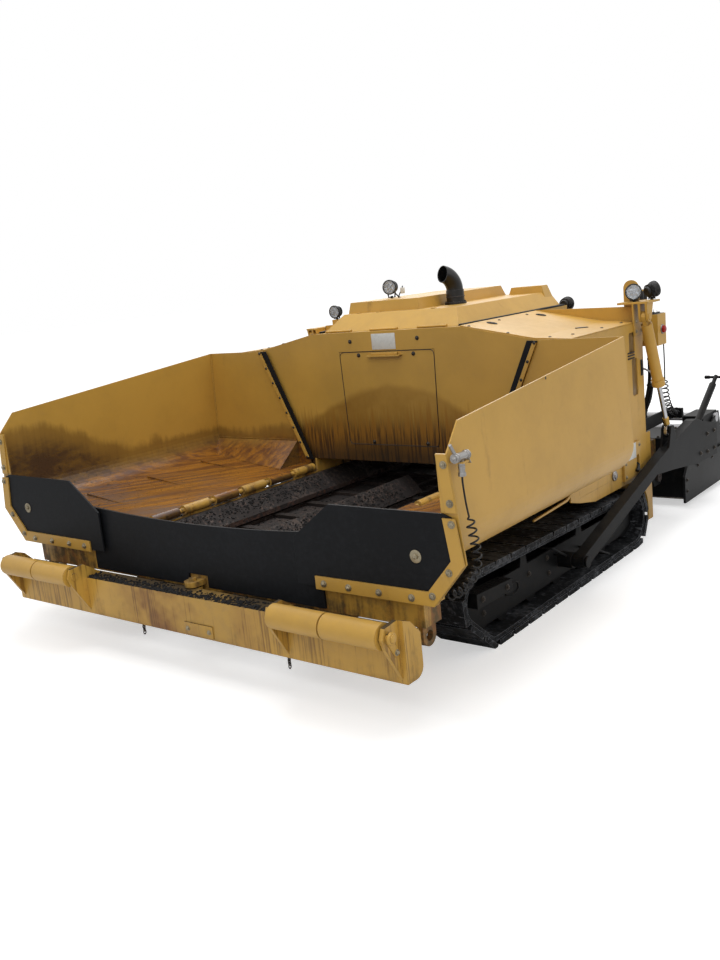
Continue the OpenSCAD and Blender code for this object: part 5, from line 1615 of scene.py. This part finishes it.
@dataclass
class TrackTrim:
    """Steps, wire loops and bolts on the track frames."""

    rod: float = 6.0
    loops: Sequence[Route] = (
        ((1206, 1364, 321), (1280, 1364, 321), (1283, 1372, 318), (1283, 1511, 240), (1280, 1519, 236),
         (1206, 1519, 236)),
        ((1206, 1817, 194), (1280, 1817, 194), (1283, 1828, 189), (1283, 2053, 89), (1280, 2064, 84),
         (1206, 2064, 84)),
        ((1262, 919, 262), (1264, 975, 262), (1266, 1000, 250), (1266, 1006, 222), (1262, 990, 205),
         (1255, 955, 198), (1240, 919, 208)),
    )
    guard_bolts: Pairs = ((640, 285), (870, 270))
    bolts: Pairs = ((1435, 241), (1447, 152), (1228, 216), (1799, 112), (2010, 205), (2190, 170),
                              (980, 250), (760, 160), (2400, 240))

    def build(self) -> None:
        """Make them on both sides."""
        form = Form()
        spots = []
        for side in (1, -1):
            for loop in self.loops:
                form.tube(sided(loop, side), self.rod / 1000, 10)
            spots += mirrored([((1205.2, y, z), OUT) for y, z in self.bolts], side)
            spots += mirrored([((1283.2, y, z), OUT) for y, z in self.guard_bolts], side)
        form.finish("track_steps", "tractor", Kit.BLACK_PAINT)
        Bolts("frame_bolts", "tractor", spots, 11.0, kit=Kit.DARK_SCREW).build()
        treads = Form()
        for side in (1, -1):
            for i in range(8):
                for k in range(3):
                    y = 610 + i * 38
                    x = (1222 + k * 22) * side
                    rise = 322 - (y - 590) * (22 / 330)
                    treads.bar(at(x - 7, y - 8, rise + 1), at(x + 7, y + 8, rise + 1), 0.005, 0.004,
                               Vector(UP))
        treads.finish("guard_treads", "tractor", Kit.BLACK_PAINT)


@dataclass
class HoseBundle:
    """Hoses that twist about each other, held by ties."""

    route: Route
    strands: int = 6
    reach: float = 0.0155
    radius: float = 0.0085

    def build(self) -> None:
        """Make the hoses and their ties; they stand for the plain bundle."""
        core = evenly(rounded([at(*p) for p in self.route], 8), 0.016)
        frames = carried(core)
        form = Form()
        ties = Form()
        for k in range(self.strands):
            line = []
            for i, point in enumerate(core):
                turn = math.tau * k / self.strands + i * 0.035 + 0.4 * math.sin(i * 0.13 + k)
                reach = self.reach * (1.0 + 0.10 * math.sin(i * 0.21 + 2.1 * k))
                line.append(point + frames[i] @ Vector((math.cos(turn) * reach, math.sin(turn) * reach, 0.0)))
            form.tube(line, self.radius * (0.75 + 0.08 * (k % 4)), 10)
        for i in range(6, len(core) - 4, 11):
            ties.ring(self.reach + self.radius * 0.95, 0.0022,
                      Matrix.Translation(core[i]) @ frames[i].to_4x4() @ Matrix.Diagonal((1, 1, 2.2, 1)), 24)
        piece = form.finish("hoses", "tractor", Kit.HOSE_RUBBER, 60.0)
        ties.finish("hose_ties", "tractor", Kit.LAMP_PLASTIC)
        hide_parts("hose_bundles")


@dataclass
class ConsoleTrim:
    """Levers with boots, knobs and buttons on the two consoles."""

    lever_x: float = 1130.0
    lever_y: Sequence[float] = (3050.0, 3105.0)
    top: float = 1400.0
    lever: Pairs = (
        (0.0, 0.1612), (0.012, 0.1605), (0.0178, 0.152), (0.0182, 0.100), (0.0150, 0.0885), (0.0090, 0.0850),
        (0.0090, 0.040), (0.0150, 0.036), (0.0130, 0.030), (0.0190, 0.026), (0.0165, 0.019), (0.0235, 0.015),
        (0.0210, 0.008), (0.0290, 0.004), (0.0290, 0.0))
    stop: Place = (1250, 3085, 1300)
    stop_button: Pairs = ((0.0, 0.0235), (0.018, 0.0225), (0.0235, 0.0185), (0.0240, 0.012),
                                    (0.0225, 0.006), (0.0, 0.006))
    button: Pairs = ((0.0, 0.010), (0.007, 0.010), (0.008, 0.008), (0.008, 0.004), (0.011, 0.003),
                               (0.0115, 0.0))
    button_x: Sequence[float] = (1180, 1215)
    button_y: Sequence[float] = (3035, 3065, 3095, 3125)
    panel: Pairs = ((1096, 3018), (1244, 3142))

    def build(self) -> None:
        """Make them on both sides."""
        black = Form()
        red = Form()
        bright = Form()
        buttons = [(x, y) for x in self.button_x for y in self.button_y]
        (x0, y0), (x1, y1) = self.panel
        for side in (1, -1):
            for y in self.lever_y:
                black.lathe(self.lever, aim(at(self.lever_x * side, y, self.top), Vector(UP)), 24)
            x, y, z = self.stop
            face = aim(at(x * side, y, z), Vector((side, 0, 0)))
            bright.lathe([(0.0, 0.006), (0.030, 0.006), (0.031, 0.0)], face, 28)
            red.lathe(self.stop_button, face, 28)
            for i, (x, y) in enumerate(buttons):
                spot = aim(at(x * side, y, self.top), Vector(UP))
                black.lathe(self.button, spot, 16)
                if i % 3 == 0:
                    bright.block(Vector((-0.0016, -0.0016, 0.008)), Vector((0.0016, 0.0016, 0.026)), 0.0005,
                                 spot)
            low, high = sorted((x0 * side, x1 * side))
            black.block(at(low, y0, self.top - 0.5), at(high, y1, self.top + 2.2), 0.0008)
        black.finish("console_levers", "tractor", Kit.LAMP_PLASTIC)
        red.finish("stop_buttons", "tractor", Kit.RED_PLASTIC)
        bright.finish("console_bezels", "tractor", Kit.CAST_GREY)


@dataclass
class Cushions:
    """Vinyl seat cushions: soft copies of the plain pads, with piping and a seam."""

    inflate: float = 3.6
    voxel: float = 0.007
    rim: float = 0.02
    frames: int = 20
    pull: float = 0.007
    pads_meet: float = 3.265
    seams: Sequence[Sequence[tuple]] = (((3010, 1061), (3130, 1063), (3255, 1061)),
                                        ((3266, 1050), (3265, 1230), (3266, 1425)))
    piping: float = 0.0028

    def soften(self, piece: bpy.types.Object) -> None:
        """Let air pressure round a pad.

        Args:
            piece: The pad's own mesh.
        """
        remesh = piece.modifiers.new("remesh", "REMESH")
        remesh.mode = "VOXEL"
        remesh.voxel_size = self.voxel
        bpy.context.view_layer.objects.active = piece
        bpy.ops.object.modifier_apply(modifier=remesh.name)
        start = [v.co.copy() for v in piece.data.vertices]
        low = min(v.co.z for v in piece.data.vertices)
        near = min(v.co.y for v in piece.data.vertices)
        far = max(v.co.y for v in piece.data.vertices)
        flat = far - near > 0.15
        pin = piece.vertex_groups.new(name="pin")
        if flat:
            held = [v.index for v in piece.data.vertices if v.co.z < low + self.rim]
        else:
            held = [v.index for v in piece.data.vertices if v.co.y > far - self.rim]
        pin.add(held, 1.0, "REPLACE")
        cloth = piece.modifiers.new("cloth", "CLOTH")
        cloth.settings.quality = 5
        cloth.settings.use_pressure = True
        cloth.settings.uniform_pressure_force = self.inflate
        cloth.settings.vertex_group_mass = "pin"
        cloth.settings.effector_weights.gravity = 0.0
        cloth.point_cache.frame_start = 1
        cloth.point_cache.frame_end = self.frames
        for number in range(1, self.frames + 1):
            bpy.context.scene.frame_set(number)
        bpy.ops.object.modifier_apply(modifier=cloth.name)
        bpy.context.scene.frame_set(1)
        for vertex, before in zip(piece.data.vertices, start):
            move = vertex.co - before
            if move.length > self.pull:
                vertex.co = before + move.normalized() * self.pull
        smooth = piece.modifiers.new("smooth", "CORRECTIVE_SMOOTH")
        smooth.iterations = 4
        smooth.use_only_smooth = True
        bpy.ops.object.modifier_apply(modifier=smooth.name)

    def build(self, nodes: dict[str, bpy.types.Object]) -> None:
        """Args:
            nodes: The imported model's objects by name.
        """
        source = bmesh.new()
        source.from_mesh(nodes["seat_cushions"].data)
        bmesh.ops.remove_doubles(source, verts=source.verts, dist=1e-5)
        cords = Form()
        for side, word in SIDES:
            for part, test in (("seat", lambda c: c.z < 1.07 and c.y + MIDDLE_Y < self.pads_meet - 0.001),
                               ("back", lambda c: c.y + MIDDLE_Y > self.pads_meet + 0.001)):
                pad = source.copy()
                gone = [v for v in pad.verts if v.co.x * side < 0 or not test(v.co)]
                bmesh.ops.delete(pad, geom=gone, context="VERTS")
                sharp = [e for e in pad.edges if e.calc_face_angle(0.0) > 0.6]
                bmesh.ops.bevel(pad, geom=sharp, offset=0.016, offset_type="OFFSET", segments=3, profile=0.5,
                                affect="EDGES", material=-1, clamp_overlap=True)
                data = bpy.data.meshes.new(f"{part}_pad_{word}")
                pad.to_mesh(data)
                pad.free()
                piece = show(data.name, data)
                data.materials.append(Kit.SEAT_VINYL.material)
                self.soften(piece)
                data.shade_smooth()
                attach(piece, "tractor")
                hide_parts("seat_cushions")
                LOG.info("%s: %d faces", piece.name, len(piece.data.polygons))
            for x in (700, 900):
                for seam in self.seams:
                    cords.tube([at(x * side, y, z) for y, z in seam], self.piping, 8)
        source.free()
        cords.finish("seat_piping", "tractor", Kit.HOSE_RUBBER)


def tread(form: Form, middle: Place, side: int, slant: float) -> None:
    """Add one raised bar of a tread plate.

    Args:
        form: The mesh that takes it.
        middle: Its middle on the machine's left, in millimetres.
        side: 1 for the left, -1 for the right.
        slant: How far each end lies ahead of or behind the middle, in millimetres.
    """
    x, y, z = middle
    form.bar(at((x - 8) * side, y - slant, z), at((x + 8) * side, y + slant, z), 0.0045, 0.0022, Vector(UP))


@dataclass
class RearTrim:
    """Fasteners, treads and fittings of the deck, the tow arms and the screed."""

    deck_top: float = 676.1
    walk_top: float = 262.8
    arm_bolts: Pairs = ((3420, 410), (3560, 395), (3560, 520), (3700, 395), (3700, 520))
    gate_bolts: Pairs = ((3480, 120), (3480, 200), (3700, 260), (4000, 260), (4250, 260))
    crank: Place = (1328, 3420, 590)
    grip: Pairs = ((0.0, 0.0), (0.0115, 0.0), (0.0125, 0.004), (0.0125, 0.030), (0.0105, 0.034),
                             (0.0, 0.034))
    cylinder_x: float = 1328
    cylinder_top: tuple = (2618, 1420)
    cylinder_eye: tuple = (2920, 665)
    pipe: Pairs = ((0.050, -0.085), (0.054, -0.10), (0.054, -0.39), (0.050, -0.405))

    def deck(self) -> None:
        """Make the raised treads of the operator deck, clear of the seats and the hose bundle."""
        form = Form()
        for side in (1, -1):
            for i in range(16):
                for k in range(15):
                    x = 600 + i * 36 + (18 if k % 2 else 0)
                    y = 2760 + k * 40
                    by_seat = abs(x - 800) < 100 and abs(y - 3200) < 100
                    by_hoses = abs(x - 1150) < 34 and 2940 < y < 3010
                    if not by_seat and not by_hoses:
                        tread(form, (x, y, self.deck_top), side, 6 if (i + k) % 2 else -6)
        form.finish("deck_treads", "tractor", Kit.BLACK_PAINT)

    def arms(self) -> None:
        """Make the bolts of the tow arms and the screed box."""
        out = [((1360.2, y, z), OUT) for y, z in self.arm_bolts]
        tops = [((x, y, 480.2), UP) for x in (90, 400, 700, 1000, 1150) for y in (3580, 3925)]
        rear = [((x, 3960.2, z), REAR) for x in (120, 420, 700, 980) for z in (120, 420)]
        spots = [spot for side in (1, -1) for spot in mirrored([*out, *tops, *rear], side)]
        Bolts("screed_bolts", "screed", spots, 11.0, kit=Kit.DARK_SCREW).build()

    def extensions(self) -> None:
        """Make the bolts of the end gates and the treads of the walkways."""
        for side, word in SIDES:
            body = f"extension_{word[0]}"
            gate = [((1239.2, y, z), OUT) for y, z in self.gate_bolts]
            Bolts(f"gate_bolts_{word}", body, mirrored(gate, side), 9.5, kit=Kit.DARK_SCREW).build()
            form = Form()
            for i in range(30):
                for k in range(4):
                    x = 45 + i * 38 + (19 if k % 2 else 0)
                    tread(form, (x, 4315 + k * 40, self.walk_top), side, 5)
            form.finish(f"walk_treads_{word}", body, Kit.BLACK_PAINT)

    def grips(self) -> None:
        """Make the rubber grips on the handles of the depth cranks."""
        form = Form()
        x, y, z = self.crank
        for side in (1, -1):
            turn = Matrix.Translation(at(x * side, y, z)) @ Matrix.Rotation(math.radians(-57), 4, "X")
            for end in (-1, 1):
                place = turn @ Matrix.Translation((0.042 * end, 0, 0.518))
                form.lathe(self.grip, place @ Matrix.Rotation(end * math.pi / 2, 4, "Y"), 20)
        form.finish("crank_grips", "screed", Kit.HOSE_RUBBER)

    def cylinders(self) -> None:
        """Make the glands, ports and collars of the lift cylinders."""
        (y0, z0), (y1, z1) = self.cylinder_top, self.cylinder_eye
        lean = math.atan2(y1 - y0, z0 - z1)
        length = math.hypot(y1 - y0, z0 - z1) / 1000
        for side, word in SIDES:
            top = Matrix.Translation(at(self.cylinder_x * side, y0, z0)) @ Matrix.Rotation(lean, 4, "X")
            ports = Form()
            for drop in (0.085, 0.405):
                place = top @ Matrix.Translation((0, 0.030, -drop)) @ Matrix.Rotation(-math.pi / 2, 4, "X")
                ports.disc(0.012, 0.020, place, 16, edge=0.002)
            ports.tube([top @ Vector((0.0, y, z)) for y, z in self.pipe], 0.005, 10)
            ports.finish(f"cylinder_ports_{word}", f"barrel_{word[0]}", Kit.YELLOW_PAINT)
            ring = Form()
            ring.disc(0.027, 0.004, top @ Matrix.Translation((0, 0, -0.479)), 28, edge=0.001)
            ring.finish(f"cylinder_gland_{word}", f"barrel_{word[0]}", Kit.LAMP_PLASTIC)
            block = Form()
            block.disc(0.021, 0.050, top @ Matrix.Translation((0, 0, 0.047 - length)), 24, edge=0.003)
            block.finish(f"rod_collar_{word}", f"rod_{word[0]}", Kit.BRASS)

    def build(self) -> None:
        """Dress the rear of the machine."""
        self.deck()
        self.arms()
        self.extensions()
        self.grips()
        self.cylinders()


@dataclass
class GunTrim:
    """Nozzle rings, nut, valve lever and guard of the spray gun."""

    x: float = 1620.0
    y: float = 32.0
    foot_z: float = 1045
    valve_z: float = 1121.3
    hole: Place = (1578.5, 838, 1308)

    def build(self) -> None:
        """Make the gun's details and a dark disc of painted shade for the small hole in the wing beside it.
        """
        form = Form()
        foot = aim(at(self.x, self.y, self.foot_z), Vector(UP))
        form.disc(0.0165, 0.016, foot @ Matrix.Translation((0, 0, -0.002)), 6, edge=0.0015)
        for z in (0.030, 0.040):
            form.ring(0.0135, 0.002, foot @ Matrix.Translation((0, 0, z)), 24)
        body = aim(at(self.x, self.y, self.valve_z), Vector(FRONT))
        for z in (-0.046, -0.030, 0.030, 0.046):
            form.ring(0.0172, 0.0022, body @ Matrix.Translation((0, 0, z)), 28)
        form.lathe([(0.0, 0.058), (0.004, 0.058), (0.006, 0.052), (0.011, 0.050), (0.011, 0.046),
                    (0.0, 0.046)], body, 20)
        form.bar(at(self.x, self.y + 30, 1140), at(self.x, self.y + 62, 1084), 0.014, 0.004, Vector(REAR),
                 0.001)
        form.finish("gun_fittings", "wing_l", Kit.CAST_GREY)
        # Painted shade: a thin dark disc on the wing stands for the shaded inside of a small hole.
        hole = Form()
        hole.disc(0.007, 0.0006, aim(at(*self.hole), Vector((1, 0, 0.05))), 16)
        hole.finish("wing_hole_shade", "wing_l", Kit.DARK_SCREW)


def lamp_sets() -> list[LampSet]:
    """List the machine's work lamps by body.

    Returns:
        The lamps of the tractor and those of the lid.
    """
    bracket = ((508, 3150.3, 1428), (532, 3218, 1437)), ((490, 3150.3, 1386), (550, 3158, 1437))
    return [
        LampSet("tower_lamps", "tractor", "tower_lamps", (
            WorkLamp((1255, 2638, 1570.3), 18.0, 4.0), WorkLamp((1320, 2753, 1570.3), 150.0, 12.0),
            WorkLamp((-1165, 2723.3, 1578.3)), WorkLamp((520, 3210, 1494), 180.0),
            WorkLamp((-520, 3210, 1494), 180.0)), bracket),
        LampSet("lid_lamp", "lid", "lid_lamp", (WorkLamp((-286, 2265, 1736.6), 10.0, 0.0, drop=74.0),)),
    ]


HOSE_ROUTE = ((1225, 2748, 1500), (1225, 2748, 1485), (1225, 2752, 1460), (1225, 2776, 1405),
              (1225, 2850, 1340), (1223, 2920, 1250), (1220, 2953, 1140), (1212, 2965, 1000),
              (1188, 2970, 870), (1150, 2976, 780), (1150, 2978, 715), (1150, 2978, 675.6))
GUN_ROUTE = ((1620, 32, 1045), (1620, 32, 1010), (1628, 32, 930), (1642, 32, 850), (1656, 32, 765),
             (1658, 32, 705), (1642, 32, 650), (1608, 32, 602), (1564, 32, 562), (1522, 32, 541),
             (1495, 32, 536), (1470, 32, 536))


@dataclass
class Studio:
    """The camera, the floor and the lamps."""

    place: Place = (3.617, -5.1265, 1.852)
    yaw: float = 39.4
    pitch: float = 12.16
    roll: float = -5.93
    focal: float = 957.1
    image_height: float = 960.0
    lamps: tuple = (
        ("key", (4.5, -8.5, 7.5), 8.0, 270.0),
        ("side", (9.0, 2.0, 5.0), 7.0, 75.0),
        ("back", (-6.0, 8.0, 8.0), 8.0, 320.0),
        ("top", (0.5, 0.0, 9.0), 7.0, 480.0),
    )
    aimed_at: Place = (0.0, -0.4, 0.6)
    sky: float = 0.46

    def camera(self) -> None:
        """Stand the camera where the photograph was taken."""
        yaw = math.radians(self.yaw)
        pitch = math.radians(self.pitch)
        roll = math.radians(self.roll)
        ahead = Vector((-math.sin(yaw) * math.cos(pitch), math.cos(yaw) * math.cos(pitch), -math.sin(pitch)))
        right = Vector((math.cos(yaw), math.sin(yaw), 0.0))
        above = right.cross(ahead)
        across = math.cos(roll) * right + math.sin(roll) * above
        upward = -math.sin(roll) * right + math.cos(roll) * above
        turn = Matrix((across, upward, -ahead)).transposed()
        data = bpy.data.cameras.new("camera")
        data.sensor_width = 36.0
        data.lens = self.focal * data.sensor_width / self.image_height
        data.clip_end = 200.0
        camera = show("camera", data)
        camera.matrix_world = Matrix.Translation(self.place) @ turn.to_4x4()
        bpy.context.scene.camera = camera

    def light(self) -> None:
        """Hang soft lamps and set an even sky, white where the camera or a mirror sees it."""
        world = bpy.data.worlds.new("world")
        bpy.context.scene.world = world
        world.use_nodes = True
        tree = world.node_tree
        tree.nodes.clear()
        rays = tree.nodes.new("ShaderNodeLightPath")
        seen = rays.outputs["Is Camera Ray"]
        for ray in ("Is Transmission Ray", "Is Glossy Ray"):
            most = tree.nodes.new("ShaderNodeMath")
            most.operation = "MAXIMUM"
            tree.links.new(seen, most.inputs[0])
            tree.links.new(rays.outputs[ray], most.inputs[1])
            seen = most.outputs[0]
        strength = tree.nodes.new("ShaderNodeMapRange")
        strength.inputs["To Min"].default_value = self.sky
        strength.inputs["To Max"].default_value = 1.0
        tree.links.new(seen, strength.inputs["Value"])
        sky = tree.nodes.new("ShaderNodeBackground")
        sky.inputs["Color"].default_value = (1.0, 1.0, 1.0, 1.0)
        tree.links.new(strength.outputs[0], sky.inputs["Strength"])
        end = tree.nodes.new("ShaderNodeOutputWorld")
        tree.links.new(sky.outputs[0], end.inputs[0])
        for name, place, size, power in self.lamps:
            data = bpy.data.lights.new(name, "AREA")
            data.shape = "DISK"
            data.size = size
            data.energy = power
            lamp = show(name, data)
            way = Vector(self.aimed_at) - Vector(place)
            lamp.matrix_world = Matrix.Translation(place) @ way.to_track_quat("-Z", "Y").to_matrix().to_4x4()

    def floor(self) -> None:
        """Lay a plain pale floor."""
        form = bmesh.new()
        bmesh.ops.create_grid(form, x_segments=1, y_segments=1, size=60.0)
        data = bpy.data.meshes.new("studio_floor")
        form.to_mesh(data)
        form.free()
        graph = Graph("studio_floor")
        cloud = graph.noise(0.6, 2.0)
        across, along, _ = graph.where()
        away = (across * across + along * along) ** 0.5
        seen = Wire(graph, graph.node("ShaderNodeLightPath").outputs["Is Camera Ray"])
        glow = seen * (away.ramp(3.0, 16.0) * 0.22 + 0.50)
        white = graph.mix((0.0, 0.0, 0.0, 1.0), (1.0, 1.0, 1.0, 1.0), glow)
        ground = graph.mix(tone(0.87, 0.87, 0.87), tone(0.89, 0.89, 0.89), cloud)
        data.materials.append(graph.surface({"Base Color": ground, "Roughness": 0.9, "Emission Color": white,
                                             "Emission Strength": 1.0}))
        floor = show("studio_floor", data)

    def build(self) -> None:
        """Set up camera, light and floor."""
        bpy.context.scene.view_settings.view_transform = "Standard"
        self.camera()
        self.light()
        self.floor()


@dataclass
class CurlyCord:
    """A curly cord: a straight lead, then even turns along a route, then its end."""

    name: str
    body: str
    route: Route
    straight: float
    radius: float
    wire: float
    pitch: float
    nodes: Sequence[str]
    tail: float = 0.03
    steps: int = 14
    nearest: float = 0.0008

    def line(self) -> list[Vector]:
        """Work out the cord's middle line.

        Returns:
            Points in metres, as many for each turn as its steps say.
        """
        core = evenly(rounded([at(*p) for p in self.route], 10), self.pitch / self.steps)
        total = path_length(core)
        ease = self.pitch * 0.8
        line = []
        gone = 0.0
        for i, (point, frame) in enumerate(zip(core, carried(core))):
            grow = min(1.0, max(0.0, (gone - self.straight) / ease))
            shrink = min(1.0, max(0.0, (total - self.tail - gone) / ease))
            reach = self.radius * math.sin(min(grow, shrink) * math.pi / 2)
            angle = math.tau * max(0.0, gone - self.straight) / self.pitch
            line.append(point + frame @ Vector((math.cos(angle) * reach, math.sin(angle) * reach, 0.0)))
            if i + 1 < len(core):
                gone += (core[i + 1] - point).length
        kept = []
        for point in line:
            if not kept or (point - kept[-1]).length > self.nearest:
                kept.append(point)
        return kept

    def build(self) -> bpy.types.Object:
        """Returns:
            The cord's object.
        """
        line = self.line()
        data = bpy.data.curves.new(self.name, "CURVE")
        data.dimensions = "3D"
        data.bevel_depth = self.wire / 2
        data.bevel_resolution = 3
        data.use_fill_caps = True
        spline = data.splines.new("POLY")
        spline.points.add(len(line) - 1)
        for knot, point in zip(spline.points, line):
            knot.co = (*point, 1.0)
        spline.use_smooth = True
        data.materials.append(Kit.CORD_PLASTIC.material)
        cord = show(self.name, data)
        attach(cord, self.body)
        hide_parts(*self.nodes)
        LOG.info("%s: %d points, %.2f m", self.name, len(line), path_length(line))
        return cord


def build_cords() -> None:
    """Make the spray gun's cord and the console's cord."""
    gun = CurlyCord("gun_cord", "wing_l", GUN_ROUTE, straight=0.165, radius=0.0175, wire=0.008, pitch=0.034,
                    nodes=("gun_coil",))
    piece = gun.build()
    tuple(at(1470, 32, 536))
    path_length(gun.line())
    turns = [math.radians(10 * i) for i in range(9)]
    curve = [(1238, 3130 + 200 * (1 - math.cos(turn)), 950 - 244 * math.sin(turn)) for turn in turns]
    console = CurlyCord(
        "console_cord", "tractor",
        ((1238, 3130, 1200), (1238, 3130, 1170), (1241, 3125, 1110), (1240, 3128, 1050), (1238, 3130, 1000),
         (1238, 3130, 970), *curve, (1238, 3330, 735), (1238, 3345, 706)),
        straight=0.235, radius=0.019, wire=0.0085, pitch=0.030, nodes=("console_lead", "console_coil"))
    piece = console.build()
    tuple(at(1238, 3130, 1200))
    path_length(console.line())


def dress_nodes(nodes: dict[str, bpy.types.Object]) -> None:
    """Give each CAD node its finish.

    Args:
        nodes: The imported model's objects by name.
    """
    for kit, names in WORN_BY.items():
        for name in names:
            piece = nodes[name]
            piece.data.materials.clear()
            piece.data.materials.append(kit.material)
            LOG.info("%s wears %s", name, kit.value.name)


def main() -> None:
    """Build the whole scene."""
    logging.basicConfig(level=logging.INFO, format="%(message)s")
    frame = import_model()
    Studio().build()
    dress_nodes(frame["nodes"])
    build_cords()
    for side, word in SIDES:
        WingTrim(side, word).build()
    trims = (HoodTrim(), LidTrim(), BeamTrim(), ConveyorTrim(), TrackTrim(), HoseBundle(HOSE_ROUTE),
             ConsoleTrim(), RearTrim(), GunTrim(), *lamp_sets())
    for trim in trims:
        trim.build()
    Cushions().build(frame["nodes"])


if __name__ == "__main__":
    main()
